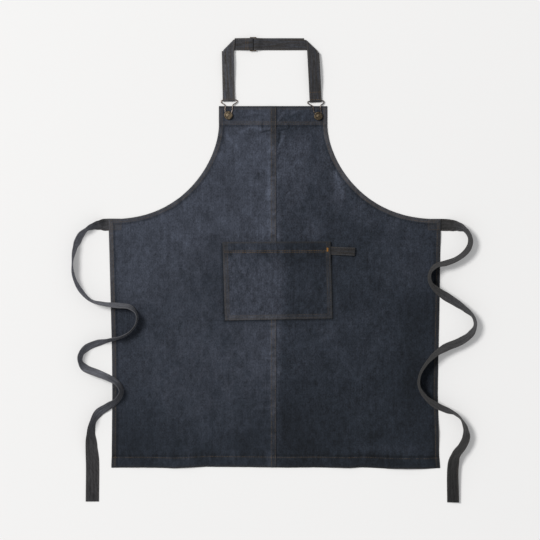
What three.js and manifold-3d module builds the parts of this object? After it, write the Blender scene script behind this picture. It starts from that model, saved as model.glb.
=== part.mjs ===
// Denim bib apron lying on its back: x across, y from the lower hem to the neck, z up from the floor. Millimetres.
import * as THREE from 'three';
import { mergeVertices } from 'three/addons/utils/BufferGeometryUtils.js';
import Module from 'manifold-3d';

// Cloth
const PLY = 1.0;
const SIDE_BAND_THICKNESS = 2.1;
const TOP_BAND_THICKNESS = 2.3;
const HEM_THICKNESS = 2.4;
const GAP = 0.3;

// Body outline
const HEM_Y = -483.4;
const WAIST_Y = 124.2;
const BIB_SIDE_Y = 353;
const BIB_TOP_Y = 401;
const BIB_HALF = { left: 136, right: 128.5 };
const ARMHOLE_DROP_POWER = 1.7;
const ARMHOLE_RUN_POWER = 2.3;
const ARMHOLE_STEPS = [0.993, 0.978, 0.95, 0.91, 0.85, 0.77, 0.67, 0.54, 0.38, 0.2];
const SKIRT_SIDES = [
  { y: -483.4, left: 399.5, right: 405 },
  { y: -455, left: 398.6, right: 402.6 },
  { y: -400, left: 398, right: 402 },
  { y: -300, left: 397.2, right: 399.2 },
  { y: -200, left: 398, right: 401 },
  { y: -50, left: 401.8, right: 404.2 },
  { y: 124.2, left: 406.3, right: 406.7 },
];

// Turned edges
const SIDE_BAND = 10.3;
const ARMHOLE_BAND = 9.5;
const HEM_DEPTH = 27;
const TOP_BAND_DEPTH = 46;
const BAND_FLOAT = 0.35;
const BAND_OVERHANG = 0.25;

// Lapped centre seam
const SEAM_UNDER_X = -8;
const SEAM_RAMP_X = -12.5;
const SEAM_RISEN_X = -9.8;
const SEAM_EDGE_X = 4;
const LAP_THICKNESS = 1.6;

// Heights that the cloth is raised off the floor
const TACK_LIFT = 1.1;
const TIE_LIFT = 2.1;
const DENTS = [
  { x: 325, y: -490, height: 5.5, reachX: 75, reachY: 120 },
  { x: 180, y: -490, height: 3, reachX: 60, reachY: 90 },
  { x: -215, y: -490, height: 3.2, reachX: 65, reachY: 100 },
  { x: -330, y: -490, height: 2.2, reachX: 50, reachY: 80 },
  { x: 404, y: -400, height: 3.2, reachX: 60, reachY: 45 },
];
const HEM_RIPPLE = [
  { x: -400, drop: 0.5 },
  { x: -325, drop: -0.3 },
  { x: -244, drop: 1.7 },
  { x: -170, drop: -2 },
  { x: -60, drop: -1.2 },
  { x: 35, drop: 0.2 },
  { x: 94, drop: -0.7 },
  { x: 182, drop: 1.2 },
  { x: 215, drop: -0.6 },
  { x: 283, drop: 2.8 },
  { x: 368, drop: 3.2 },
  { x: 405, drop: 1.4 },
];

// Patch pocket, by its corners
const POCKET = {
  topLeft: { x: -127, y: 68 },
  topRight: { x: 136.7, y: 69.3 },
  bottomLeft: { x: -121, y: -123.2 },
  bottomRight: { x: 141.6, y: -118.3 },
};
const POCKET_HEM = 25;
const POCKET_TURN = 9;
const POCKET_HEM_THICKNESS = 2.2;
const POCKET_GAPE = 7;
const STEP = 0.5;

// Tab at the pocket's side
const LOOP_START = { x: 131, y: 47.6 };
const LOOP_SLOPE_DEG = -2.5;
const LOOP_LENGTH = 66;
const LOOP_WIDTH = 20;
const LOOP_THICKNESS = 1.0;
const LOOP_EYE = 2.8;

// Strap, ties and metal
const STRAP_WIDTH = 29.6;
const STRAP_THICKNESS = 1.6;
const WIRE = 2.3;
const BUCKLE_WIDTH = 42;
const BUCKLE_REACH = 37.2;
const BAR_Z = 3.3;
const BUTTON_Z = 4.9;
const BUTTON_RADIUS = 10.4;
const POST_RADIUS = 2.4;
const TACK_RADIUS = 5.5;
const POST_HOLE_RADIUS = 2.8;
const BUTTONS = {
  left: { x: -113.2, y: 378.5, turnDeg: 0.9, lean: 2.9 },
  right: { x: 107, y: 376.6, turnDeg: 2.9, lean: -4.6 },
};
const STRAP_CORNER = { left: { x: -114.8, y: 553 }, right: { x: 93.5, y: 553 } };
const LEFT_LEG_FOOT_X = -112.2;
const FOLD_INSET = 2.7;
const SLIDER = { x: -52.5, y: 553, z: 5.2, length: 16, width: 34.4, thickness: 1.8, rail: 2, bar: 2 };

// Ties, seen from above: tilt lifts the left edge (plus) or the right edge (minus), bed is what the strip lies on.
const OVER_BODY = 3.2;
const TIE_CUTS = 3;
const TIE_FLARE = { left: 0.1, right: 0 };
const TIE_LEFT = [
  { x: -376, y: 111, tilt: 0, bed: 0.05 },
  { x: -412, y: 111, tilt: 0, bed: 0.05 },
  { x: -430, y: 109.5, tilt: -42, bed: 0 },
  { x: -446.5, y: 105.5, tilt: -62, bed: 0 },
  { x: -460, y: 99, tilt: -76, bed: 0 },
  { x: -474, y: 85, tilt: -62, bed: 0 },
  { x: -482, y: 69, tilt: -60, bed: 0 },
  { x: -488.5, y: 52, tilt: -74, bed: 0 },
  { x: -494.5, y: 16, tilt: -90, bed: 0 },
  { x: -491, y: -16, tilt: -82, bed: 0 },
  { x: -475.5, y: -48, tilt: -74, bed: 0 },
  { x: -450, y: -74, tilt: -80, bed: 0.8 },
  { x: -420, y: -82.5, tilt: -73, bed: OVER_BODY },
  { x: -385, y: -86.5, tilt: -66, bed: OVER_BODY },
  { x: -353, y: -91, tilt: -70, bed: OVER_BODY },
  { x: -337, y: -108, tilt: -84, bed: OVER_BODY },
  { x: -338.5, y: -131, tilt: -86, bed: OVER_BODY },
  { x: -353, y: -151, tilt: -84, bed: OVER_BODY },
  { x: -375, y: -164, tilt: -80, bed: OVER_BODY },
  { x: -405, y: -172, tilt: -72, bed: OVER_BODY },
  { x: -434, y: -179, tilt: -58, bed: 0.5 },
  { x: -459, y: -190, tilt: -56, bed: 0 },
  { x: -474, y: -207, tilt: -68, bed: 0 },
  { x: -475, y: -224, tilt: -72, bed: 0 },
  { x: -463.5, y: -239.5, tilt: -56, bed: 0 },
  { x: -434, y: -252, tilt: -56, bed: 0.5 },
  { x: -405, y: -264, tilt: -62, bed: OVER_BODY },
  { x: -384, y: -277, tilt: -68, bed: OVER_BODY },
  { x: -374.5, y: -296, tilt: -72, bed: OVER_BODY },
  { x: -384, y: -317, tilt: -66, bed: OVER_BODY },
  { x: -406, y: -333, tilt: -52, bed: OVER_BODY },
  { x: -430, y: -349, tilt: -46, bed: 0.8 },
  { x: -444, y: -371, tilt: -62, bed: 0 },
  { x: -449, y: -396, tilt: -52, bed: 0 },
  { x: -448.5, y: -430, tilt: -20, bed: 0 },
  { x: -446, y: -470, tilt: -4, bed: 0 },
  { x: -446.5, y: -567, tilt: -2, bed: 0 },
];
const TIE_RIGHT = [
  { x: 376, y: 110.5, tilt: 0, bed: 0.05 },
  { x: 412, y: 110.5, tilt: 0, bed: 0.05 },
  { x: 434, y: 109, tilt: 22, bed: 0 },
  { x: 452, y: 105, tilt: 48, bed: 0 },
  { x: 467, y: 97, tilt: 72, bed: 0 },
  { x: 477, y: 82, tilt: 74, bed: 0 },
  { x: 478.5, y: 66, tilt: 70, bed: 0 },
  { x: 470, y: 47, tilt: 66, bed: 0 },
  { x: 447, y: 28, tilt: 68, bed: 0.8 },
  { x: 419, y: 17, tilt: 64, bed: OVER_BODY },
  { x: 394, y: 10, tilt: 70, bed: OVER_BODY },
  { x: 379.5, y: -8, tilt: 80, bed: OVER_BODY },
  { x: 381, y: -31, tilt: 76, bed: OVER_BODY },
  { x: 397, y: -49, tilt: 60, bed: OVER_BODY },
  { x: 419, y: -65, tilt: 48, bed: OVER_BODY },
  { x: 443, y: -80, tilt: 54, bed: 0.5 },
  { x: 467, y: -97, tilt: 66, bed: 0 },
  { x: 486, y: -115, tilt: 80, bed: 0 },
  { x: 490.5, y: -135, tilt: 80, bed: 0 },
  { x: 479, y: -157, tilt: 62, bed: 0 },
  { x: 453, y: -175, tilt: 54, bed: 0.5 },
  { x: 419, y: -189, tilt: 54, bed: OVER_BODY },
  { x: 394, y: -205, tilt: 68, bed: OVER_BODY },
  { x: 370, y: -230, tilt: 80, bed: OVER_BODY },
  { x: 355, y: -257, tilt: 84, bed: OVER_BODY },
  { x: 353, y: -283, tilt: 82, bed: OVER_BODY },
  { x: 367, y: -308, tilt: 72, bed: OVER_BODY },
  { x: 392, y: -329, tilt: 58, bed: OVER_BODY },
  { x: 419, y: -342, tilt: 60, bed: OVER_BODY },
  { x: 442, y: -352, tilt: 76, bed: 0.8 },
  { x: 457, y: -366, tilt: 84, bed: 0 },
  { x: 466.5, y: -386, tilt: 72, bed: 0 },
  { x: 468.5, y: -409, tilt: 56, bed: 0 },
  { x: 459, y: -431, tilt: 54, bed: 0 },
  { x: 444, y: -451, tilt: 50, bed: 0 },
  { x: 437, y: -478, tilt: 26, bed: 0 },
  { x: 437, y: -569, tilt: 14, bed: 0 },
];

const { lerp, smoothstep, degToRad } = THREE.MathUtils;
const wasm = await Module();
wasm.setup();

// Reads one column of a table between its rows, along another column.
function along(table, key, column, value) {
  const next = table.findIndex((row) => row[key] >= value);
  if (next === 0) return table[0][column];
  if (next < 0) return table[table.length - 1][column];
  const low = table[next - 1];
  const high = table[next];
  return lerp(low[column], high[column], (value - low[key]) / (high[key] - low[key]));
}

function solidOf(geometry) {
  const bare = new THREE.BufferGeometry();
  bare.setAttribute('position', geometry.getAttribute('position').clone());
  if (geometry.index) bare.setIndex(geometry.index.clone());
  const merged = mergeVertices(bare, 1e-4);
  const mesh = new wasm.Mesh({
    numProp: 3,
    vertProperties: new Float32Array(merged.attributes.position.array),
    triVerts: new Uint32Array(merged.index.array),
  });
  return new wasm.Manifold(mesh);
}

function geometryOf(solid) {
  const mesh = solid.getMesh();
  const geometry = new THREE.BufferGeometry();
  geometry.setAttribute('position', new THREE.BufferAttribute(mesh.vertProperties, 3));
  geometry.setIndex(new THREE.BufferAttribute(mesh.triVerts, 1));
  geometry.computeVertexNormals();
  return geometry;
}

// A closed sheet of cloth: a flat box of cells, each corner put in its place.
function sheet(columns, rows, place) {
  const geometry = new THREE.BoxGeometry(1, 1, 1, columns - 1, rows - 1, 1);
  const position = geometry.getAttribute('position');
  for (let v = 0; v < position.count; v += 1) {
    const column = Math.round((position.getX(v) + 0.5) * (columns - 1));
    const row = Math.round((position.getY(v) + 0.5) * (rows - 1));
    const spot = place(column, row, position.getZ(v) > 0);
    position.setXYZ(v, spot.x, spot.y, spot.z);
  }
  return geometry;
}

// A closed strip through rings of four corners: left top, right top, right bottom, left bottom.
function loft(rings) {
  const corners = rings.flat().flatMap((point) => [point.x, point.y, point.z]);
  const last = 4 * (rings.length - 1);
  const faces = [0, 3, 2, 0, 2, 1, last, last + 1, last + 2, last, last + 2, last + 3];
  for (let ring = 0; ring < rings.length - 1; ring += 1) {
    for (let side = 0; side < 4; side += 1) {
      const a = 4 * ring + side;
      const b = 4 * ring + ((side + 1) % 4);
      faces.push(a, b, b + 4, a, b + 4, a + 4);
    }
  }
  const geometry = new THREE.BufferGeometry();
  geometry.setAttribute('position', new THREE.Float32BufferAttribute(corners, 3));
  geometry.setIndex(faces);
  return geometry;
}

function stripRing(left, right, face, thickness) {
  const half = face.clone().multiplyScalar(thickness / 2);
  return [left.clone().add(half), right.clone().add(half), right.clone().sub(half), left.clone().sub(half)];
}

// Body
function halfWidth(side, y) {
  if (y <= WAIST_Y) return along(SKIRT_SIDES, 'y', side, y);
  if (y >= BIB_SIDE_Y) return BIB_HALF[side];
  const drop = (BIB_SIDE_Y - y) / (BIB_SIDE_Y - WAIST_Y);
  const run = 1 - (1 - drop ** ARMHOLE_DROP_POWER) ** (1 / ARMHOLE_RUN_POWER);
  return lerp(BIB_HALF[side], along(SKIRT_SIDES, 'y', side, WAIST_Y), run);
}

function lift(x, y) {
  let height = TACK_LIFT * smoothstep(y, 320, 351);
  height += TIE_LIFT * smoothstep(Math.abs(x), 300, 362) * smoothstep(y, 40, 85);
  for (const dent of DENTS) {
    const reach = Math.hypot((x - dent.x) / dent.reachX, (y - dent.y) / dent.reachY);
    if (reach < 1) height += dent.height * Math.cos((reach * Math.PI) / 2) ** 2;
  }
  return height;
}

const hemY = (x) => HEM_Y - along(HEM_RIPPLE, 'x', 'drop', x);
const SKIRT_ROWS = [-483.4, -470, -454, -446, -420, -395, -370, -290, -190, -90, 0, 40, 62, 85, 105, 124.2];
const ARMHOLE_ROWS = ARMHOLE_STEPS.map((drop) => lerp(BIB_SIDE_Y, WAIST_Y, drop));
const BIB_ROWS = [320, 336, 346, 351, 353, 377, 401];
const BODY_ROWS = [...SKIRT_ROWS, ...ARMHOLE_ROWS, ...BIB_ROWS];
const BODY_COLUMNS = [0.12, 0.24, 0.34, 0.44, 0.54, 0.64, 0.72, 0.8, 0.89, 1];

// Height of the cloth that the seam's lap lies on.
function lapBase(y) {
  if (y <= -454) return HEM_THICKNESS + GAP;
  if (y >= 351) return TOP_BAND_THICKNESS + GAP;
  return PLY + GAP;
}

function bodyPanel(side) {
  const isLeft = side === 'left';
  const sign = isLeft ? -1 : 1;
  const inner = isLeft ? [SEAM_EDGE_X, SEAM_RISEN_X, SEAM_RAMP_X] : [SEAM_UNDER_X, 8];
  const stations = inner.length + BODY_COLUMNS.length;
  const xOf = (index, y) => {
    if (index < inner.length) return inner[index];
    return sign * halfWidth(side, y) * BODY_COLUMNS[index - inner.length];
  };
  const place = (column, row, top) => {
    const index = isLeft ? stations - 1 - column : column;
    const x = xOf(index, BODY_ROWS[row]);
    const y = row === 0 ? hemY(x) : BODY_ROWS[row];
    const isLap = isLeft && index < 2;
    const base = lift(x, BODY_ROWS[row]) + (isLap ? lapBase(BODY_ROWS[row]) : 0);
    return { x, y, z: base + (top ? (isLap ? LAP_THICKNESS : PLY) : 0) };
  };
  const body = solidOf(sheet(stations, BODY_ROWS.length, place));

  const edge = BODY_ROWS.map((y) => new THREE.Vector2(sign * halfWidth(side, y), y));
  if (isLeft) edge.reverse();
  const sideBand = bandStrip(edge, SIDE_BAND_THICKNESS, (y) => (y < WAIST_Y ? SIDE_BAND : ARMHOLE_BAND));

  const reach = BODY_COLUMNS.map((share) => sign * share * (halfWidth(side, HEM_Y) - 1));
  const hemX = [isLeft ? SEAM_RAMP_X : SEAM_UNDER_X, ...reach].sort((a, b) => a - b);
  const hem = bandStrip(hemX.map((x) => new THREE.Vector2(x, hemY(x))), HEM_THICKNESS, () => HEM_DEPTH);

  const topX = [isLeft ? SEAM_RAMP_X : SEAM_UNDER_X, sign * (BIB_HALF[side] - 1)].sort((a, b) => b - a);
  const topEdge = topX.map((x) => new THREE.Vector2(x, BIB_TOP_Y));
  const topBand = bandStrip(topEdge, TOP_BAND_THICKNESS, () => TOP_BAND_DEPTH);

  const hole = new THREE.CylinderGeometry(POST_HOLE_RADIUS, POST_HOLE_RADIUS, 20, 16).rotateX(Math.PI / 2);
  hole.translate(BUTTONS[side].x, BUTTONS[side].y, 0);
  return geometryOf(body.add(sideBand).add(hem).add(topBand).subtract(solidOf(hole)));
}

// A turned edge: a strip that follows an outline, lying to the left of its direction.
function bandStrip(outline, thickness, widthAt) {
  const ways = outline.slice(1).map((point, i) => {
    const way = point.clone().sub(outline[i]).normalize();
    const width = widthAt((point.y + outline[i].y) / 2);
    return { normal: new THREE.Vector2(-way.y, way.x), width };
  });
  const rings = outline.map((point, i) => {
    const before = ways[Math.max(i - 1, 0)];
    const after = ways[Math.min(i, ways.length - 1)];
    const shared = 1 + before.normal.dot(after.normal);
    const inward = before.normal.clone().multiplyScalar(before.width / shared);
    inward.addScaledVector(after.normal, after.width / shared);
    const outer = point.clone().addScaledVector(inward, -BAND_OVERHANG / inward.length());
    const inner = point.clone().add(inward);
    const corner = (spot, height) => new THREE.Vector3(spot.x, spot.y, lift(spot.x, spot.y) + height);
    return [
      corner(inner, thickness),
      corner(outer, thickness),
      corner(outer, BAND_FLOAT),
      corner(inner, BAND_FLOAT),
    ];
  });
  return solidOf(loft(rings));
}

// Pocket
function pocketGeometry() {
  const height = POCKET.topLeft.y - POCKET.bottomLeft.y;
  const downs = [0, 9, POCKET_HEM, POCKET_HEM + STEP, 37, 58, 85, 115, 145];
  downs.push(height - POCKET_TURN - STEP, height - POCKET_TURN, height);
  const across = [-95, -65, -38, -20, -13.5, 6, 12, 36, 64, 92, 110];
  const turned = POCKET_TURN + STEP;
  const columns = across.length + 6;
  const rows = downs.length;
  const place = (column, row, top) => {
    const index = rows - 1 - row;
    const down = downs[index] / height;
    const leftX = lerp(POCKET.topLeft.x, POCKET.bottomLeft.x, down);
    const rightX = lerp(POCKET.topRight.x, POCKET.bottomRight.x, down);
    const stations = [leftX, leftX + POCKET_TURN, leftX + turned, ...across];
    stations.push(rightX - turned, rightX - POCKET_TURN, rightX);
    const x = stations[column];
    const share = (x - leftX) / (rightX - leftX);
    const leftY = lerp(POCKET.topLeft.y, POCKET.bottomLeft.y, down);
    const rightY = lerp(POCKET.topRight.y, POCKET.bottomRight.y, down);
    const y = lerp(leftY, rightY, share);
    const isHem = index < 3 || index > rows - 3 || column < 2 || column > columns - 3;
    const overLap = x > -14 && x < 7;
    const base = PLY + GAP + (overLap ? GAP + LAP_THICKNESS : 0);
    const gape = POCKET_GAPE * Math.sin(Math.PI * share) * (1 - down) ** 1.2;
    const nearTab = smoothstep(x, 100, 127) * smoothstep(y, 10, 30);
    const tabRise = (2 * LOOP_THICKNESS + 2 * GAP + 0.2) * nearTab;
    const cloth = isHem ? POCKET_HEM_THICKNESS : PLY;
    return { x, y, z: base + gape + tabRise + (top ? cloth : 0) };
  };
  return sheet(columns, rows, place);
}

// Flat strips that run in an upright plane: a profile of distance and height along one direction.
function runRings(origin, direction, left, profile, width, thickness) {
  const curve = new THREE.CatmullRomCurve3(profile.map(([s, z]) => new THREE.Vector3(s, 0, z)));
  const samples = 3 * (profile.length - 1);
  const rings = [];
  for (let k = 0; k <= samples; k += 1) {
    const spot = curve.getPoint(k / samples);
    const slope = curve.getTangent(k / samples);
    const centre = origin.clone().addScaledVector(direction, spot.x).setZ(spot.z);
    const way = direction.clone().multiplyScalar(slope.x).setZ(slope.z);
    const face = way.clone().cross(left).normalize();
    const side = left.clone().multiplyScalar(width / 2);
    rings.push(stripRing(centre.clone().add(side), centre.clone().sub(side), face, thickness));
  }
  return rings;
}

// Half-round of a strip about a bar, from one side of it to the other.
function halfRound(s, z, radius, fromDeg, toDeg) {
  return [0, 0.25, 0.5, 0.75, 1].map((share) => {
    const angle = degToRad(lerp(fromDeg, toDeg, share));
    return [s + radius * Math.cos(angle), z + radius * Math.sin(angle)];
  });
}

// A diagonal fold that lays a strip over or under itself and turns its direction. Going round the fold, the strip
// slides along the crease by as much as the half-round takes up.
const foldSlide = (fromZ, toZ) => (Math.PI * Math.abs(toZ - fromZ)) / 4;

function mitre(corner, from, to, left, fromZ, toZ) {
  const crease = from.clone().add(to).normalize();
  const outward = from.clone().sub(to).normalize();
  const reach = STRAP_WIDTH / 2 / crease.dot(left) + FOLD_INSET;
  const face = from.clone().cross(left);
  const radius = Math.abs(toZ - fromZ) / 2;
  const rise = Math.sign(toZ - fromZ);
  const slide = foldSlide(fromZ, toZ);
  return [0, 1, 2, 3, 4, 5, 6].map((step) => {
    const angle = (step / 6) * Math.PI;
    const middle = corner.clone().addScaledVector(outward, radius * Math.sin(angle) - slide - FOLD_INSET);
    middle.addScaledVector(crease, slide * ((2 * angle) / Math.PI - 1));
    middle.setZ((fromZ + toZ) / 2 - rise * radius * Math.cos(angle));
    const turnedFace = face.clone().multiplyScalar(Math.cos(angle));
    turnedFace.addScaledVector(outward, -rise * face.z * Math.sin(angle));
    const edge = crease.clone().multiplyScalar(reach);
    return stripRing(middle.clone().add(edge), middle.clone().sub(edge), turnedFace, STRAP_THICKNESS);
  });
}

// The strap's left side after a fold, mirrored in the crease.
function folded(from, to, left) {
  const crease = from.clone().add(to).normalize();
  return crease.multiplyScalar(2 * crease.dot(left)).sub(left);
}

const flat = (spot) => new THREE.Vector3(spot.x, spot.y, 0);

function barCentre(side) {
  const turn = degToRad(BUTTONS[side].turnDeg);
  const offset = new THREE.Vector3(BUTTONS[side].lean, BUCKLE_REACH, 0);
  return flat(BUTTONS[side]).add(offset.applyAxisAngle(new THREE.Vector3(0, 0, 1), turn));
}

function neckStrapGeometry() {
  const strip = (origin, way, left, profile) => {
    return runRings(origin, way, left, profile, STRAP_WIDTH, STRAP_THICKNESS);
  };
  const wrap = WIRE / 2 + 0.35 + STRAP_THICKNESS / 2;
  const low = BAR_Z - wrap;
  const pitch = STRAP_THICKNESS + 0.4;
  const clear = (fromZ, toZ) => STRAP_WIDTH / 2 + Math.SQRT2 * foldSlide(fromZ, toZ) + 0.3;
  const single = clear(0, pitch);
  const outer = clear(0, 3 * pitch);
  const cornerRight = flat(STRAP_CORNER.right);
  const cornerLeft = flat(STRAP_CORNER.left);
  const rightBar = barCentre('right');

  const up = cornerRight.clone().sub(rightBar).normalize();
  const rise = cornerRight.distanceTo(rightBar);
  const leftOfUp = new THREE.Vector3(up.y, -up.x, 0);
  const rightLeg = [[26, 4.9], [18, 3.9], [9, 1.9], ...halfRound(0, BAR_Z, wrap, -90, -270)];
  rightLeg.push([8, BAR_Z + wrap - 0.2], [20, 6.2], [34, 8.4], [48, 10.4], [64, 11.2], [82, 11], [98, 10]);
  rightLeg.push([rise - outer - 8, 8.8], [rise - outer - 3, 7.6]);
  rightLeg.push([rise - outer, low + 3 * pitch]);

  const west = new THREE.Vector3(-1, 0, 0);
  const leftOfWest = folded(up, west, leftOfUp);
  const bridge = STRAP_CORNER.right.x - SLIDER.x;
  const overBar = SLIDER.z + SLIDER.thickness / 2 + GAP + STRAP_THICKNESS / 2;
  const running = [[outer, low], [40, low + 0.2], [80, low + 0.6], [112, low + 0.4], [125, low + 1.6]];
  running.push([133, overBar - 1], [bridge - 7.6, overBar], [bridge - 4.6, overBar - 0.5]);
  running.push([bridge - 1.9, overBar - 3.2], [bridge - 0.3, low + 0.8], [bridge + 2.5, low]);
  running.push([bridge + 12, low], [cornerRight.x - cornerLeft.x - outer, low]);

  const leftFoot = new THREE.Vector3(LEFT_LEG_FOOT_X, barCentre('left').y, 0);
  const south = leftFoot.clone().sub(cornerLeft).normalize();
  const north = south.clone().negate();
  const leftOfSouth = folded(west, south, leftOfWest);
  const drop = cornerLeft.distanceTo(leftFoot);
  const leftLeg = [[outer, low + 3 * pitch], [26, 7.4], [45, 8], [70, 6.6]];
  leftLeg.push([99, 4.4], [124, BAR_Z + wrap - 0.8], ...halfRound(drop, BAR_Z, wrap, 90, -90));
  leftLeg.push([124, low], [70, low], [45, low + 0.6], [25, low + 1.85 * pitch], [single, low + 2 * pitch]);

  const east = new THREE.Vector3(1, 0, 0);
  const leftOfEast = folded(north, east, leftOfSouth);
  const loopBar = SLIDER.x - cornerLeft.x - 2.4;
  const loopWrap = SLIDER.thickness / 2 + GAP + STRAP_THICKNESS / 2;
  const sewn = [[single, low + pitch], [24, low + pitch], [33, low + 1.6 * pitch], [39, low + 2.15 * pitch]];
  sewn.push([46, low + 2.6 * pitch], [52, SLIDER.z + loopWrap]);
  sewn.push(...halfRound(loopBar, SLIDER.z, loopWrap, 90, -90));
  sewn.push([50, SLIDER.z - loopWrap], [36, SLIDER.z - loopWrap]);

  return loft([
    ...strip(rightBar, up, leftOfUp, rightLeg),
    ...mitre(cornerRight, up, west, leftOfUp, low + 3 * pitch, low),
    ...strip(cornerRight, west, leftOfWest, running),
    ...mitre(cornerLeft, west, south, leftOfWest, low, low + 3 * pitch),
    ...strip(cornerLeft, south, leftOfSouth, leftLeg),
    ...mitre(cornerLeft, north, east, leftOfSouth, low + 2 * pitch, low + pitch),
    ...strip(cornerLeft, east, leftOfEast, sewn),
  ]);
}

function towelLoopGeometry() {
  const way = new THREE.Vector3(1, 0, 0).applyAxisAngle(new THREE.Vector3(0, 0, 1), degToRad(LOOP_SLOPE_DEG));
  const left = new THREE.Vector3(-way.y, way.x, 0);
  const low = PLY + GAP + LOOP_THICKNESS / 2;
  const root = low + LOOP_THICKNESS + GAP;
  const turn = LOOP_LENGTH - LOOP_EYE;
  const profile = [[0, low], [20, low], [45, low], ...halfRound(turn, low + LOOP_EYE, LOOP_EYE, -90, 90)];
  profile.push([47, low + 2 * LOOP_EYE + 0.3], [30, low + 2 * LOOP_EYE - 0.6]);
  profile.push([15, root + 0.9], [6, root + 0.1], [0, root]);
  return loft(runRings(flat(LOOP_START), way, left, profile, LOOP_WIDTH, LOOP_THICKNESS));
}

// Waist ties
function tieGeometry(table, flare) {
  const path = new THREE.CatmullRomCurve3(table.map((row) => new THREE.Vector3(row.x, row.y, 0)));
  const samples = TIE_CUTS * (table.length - 1);
  const rings = [];
  for (let k = 0; k <= samples; k += 1) {
    const share = k / samples;
    const row = Math.min(Math.floor(k / TIE_CUTS), table.length - 2);
    const part = smoothstep(k / TIE_CUTS - row, 0, 1);
    const tilt = degToRad(lerp(table[row].tilt, table[row + 1].tilt, part));
    const bed = lerp(table[row].bed, table[row + 1].bed, part);
    const way = path.getTangent(share);
    const level = new THREE.Vector3(-way.y, way.x, 0).normalize();
    const side = level.clone().multiplyScalar(Math.cos(tilt)).setZ(Math.sin(tilt));
    const face = level.clone().multiplyScalar(-Math.sin(tilt)).setZ(Math.cos(tilt));
    const centre = path.getPoint(share);
    const width = STRAP_WIDTH * (1 + flare * smoothstep(-centre.y, 420, 470));
    centre.z = bed + (width * Math.abs(Math.sin(tilt)) + STRAP_THICKNESS * Math.abs(Math.cos(tilt))) / 2;
    side.multiplyScalar(width / 2);
    rings.push(stripRing(centre.clone().add(side), centre.clone().sub(side), face, STRAP_THICKNESS));
  }
  return loft(rings);
}

// Metal
function buckleGeometry(side) {
  const halfBar = (BUCKLE_WIDTH - WIRE) / 2;
  const seat = POST_RADIUS + 0.35 + WIRE / 2;
  const outline = [[0.3, BUCKLE_REACH], [8, BUCKLE_REACH], [halfBar - 3.2, BUCKLE_REACH]];
  outline.push([halfBar - 0.8, BUCKLE_REACH - 1], [halfBar, BUCKLE_REACH - 3.4], [halfBar - 2, BUCKLE_REACH - 6.4]);
  outline.push([12, 27], [9.4, 24], [8.8, 20], [8.8, 12], [7.6, 6], [5.2, 2.4]);
  const bend = [-20, -55, -90].map((deg) => [seat * Math.cos(degToRad(deg)), seat * Math.sin(degToRad(deg))]);
  const rightHalf = [...outline, ...bend];
  const leftHalf = rightHalf.slice(0, -1).reverse().map(([x, y]) => [-x, y]);
  const { lean, turnDeg, x: postX, y: postY } = BUTTONS[side];
  const points = [...rightHalf, ...leftHalf].map(([x, y]) => {
    const z = lerp(BUTTON_Z, BAR_Z, smoothstep(y, 25, 34));
    return new THREE.Vector3(x + (lean * Math.max(y, 0)) / BUCKLE_REACH, y, z);
  });
  const path = new THREE.CatmullRomCurve3(points);
  const wire = new THREE.Shape().absarc(0, 0, WIRE / 2, 0, 2 * Math.PI);
  const options = { steps: 60, curveSegments: 4, bevelEnabled: false, extrudePath: path };
  const geometry = new THREE.ExtrudeGeometry(wire, options);
  return geometry.rotateZ(degToRad(turnDeg)).translate(postX, postY, 0);
}

function buttonGeometry(side) {
  const under = BUTTON_Z + WIRE / 2 + GAP;
  const profile = [[0, 0], [TACK_RADIUS, 0], [TACK_RADIUS, 0.8], [POST_RADIUS, 0.8], [POST_RADIUS, under]];
  profile.push([BUTTON_RADIUS - 1, under], [BUTTON_RADIUS, under + 0.8], [BUTTON_RADIUS, under + 2.2]);
  profile.push([BUTTON_RADIUS - 0.7, under + 3], [BUTTON_RADIUS - 1.8, under + 3.2]);
  profile.push([BUTTON_RADIUS - 2.6, under + 2.7], [4, under + 2.9], [0, under + 3.1]);
  const geometry = new THREE.LatheGeometry(profile.map(([r, z]) => new THREE.Vector2(r, z)), 24);
  return geometry.rotateX(Math.PI / 2).translate(BUTTONS[side].x, BUTTONS[side].y, 0);
}

function sliderGeometry() {
  const { length, width, thickness, rail, bar } = SLIDER;
  const window = (fromX, toX) => {
    const box = new THREE.BoxGeometry(toX - fromX, width - 2 * rail, 4 * thickness);
    return solidOf(box.translate((fromX + toX) / 2, 0, 0));
  };
  const start = -length / 2 + bar;
  const frame = solidOf(new THREE.BoxGeometry(length, width, thickness));
  const narrow = window(start, start + 2);
  const wide = window(start + 2 + bar, length / 2 - bar - 0.4);
  return geometryOf(frame.subtract(narrow).subtract(wide)).translate(SLIDER.x, SLIDER.y, SLIDER.z);
}

const finish = (color, metalness, roughness) => new THREE.MeshStandardMaterial({ color, metalness, roughness });
const denim = (color) => finish(color, 0, 0.95);
const brass = (color) => finish(color, 1, 0.45);

const apron = new THREE.Group();
apron.name = 'bib_apron';
function addPiece(name, geometry, material) {
  const mesh = new THREE.Mesh(geometry, material);
  mesh.name = name;
  apron.add(mesh);
}

addPiece('panel_left', bodyPanel('left'), denim(0x3e424c));
addPiece('panel_right', bodyPanel('right'), denim(0x33373f));
addPiece('pocket', pocketGeometry(), denim(0x3a3f48));
addPiece('towel_loop', towelLoopGeometry(), denim(0x313236));
addPiece('neck_strap', neckStrapGeometry(), denim(0x45454a));
addPiece('strap_slider', sliderGeometry(), brass(0x4a3c2c));
addPiece('buckle_left', buckleGeometry('left'), brass(0x6b5a3a));
addPiece('buckle_right', buckleGeometry('right'), brass(0x6b5a3a));
addPiece('button_left', buttonGeometry('left'), brass(0x5d5345));
addPiece('button_right', buttonGeometry('right'), brass(0x5d5345));
addPiece('tie_left', tieGeometry(TIE_LEFT, TIE_FLARE.left), denim(0x3c3d40));
addPiece('tie_right', tieGeometry(TIE_RIGHT, TIE_FLARE.right), denim(0x3c3d40));

export default apron;
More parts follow.
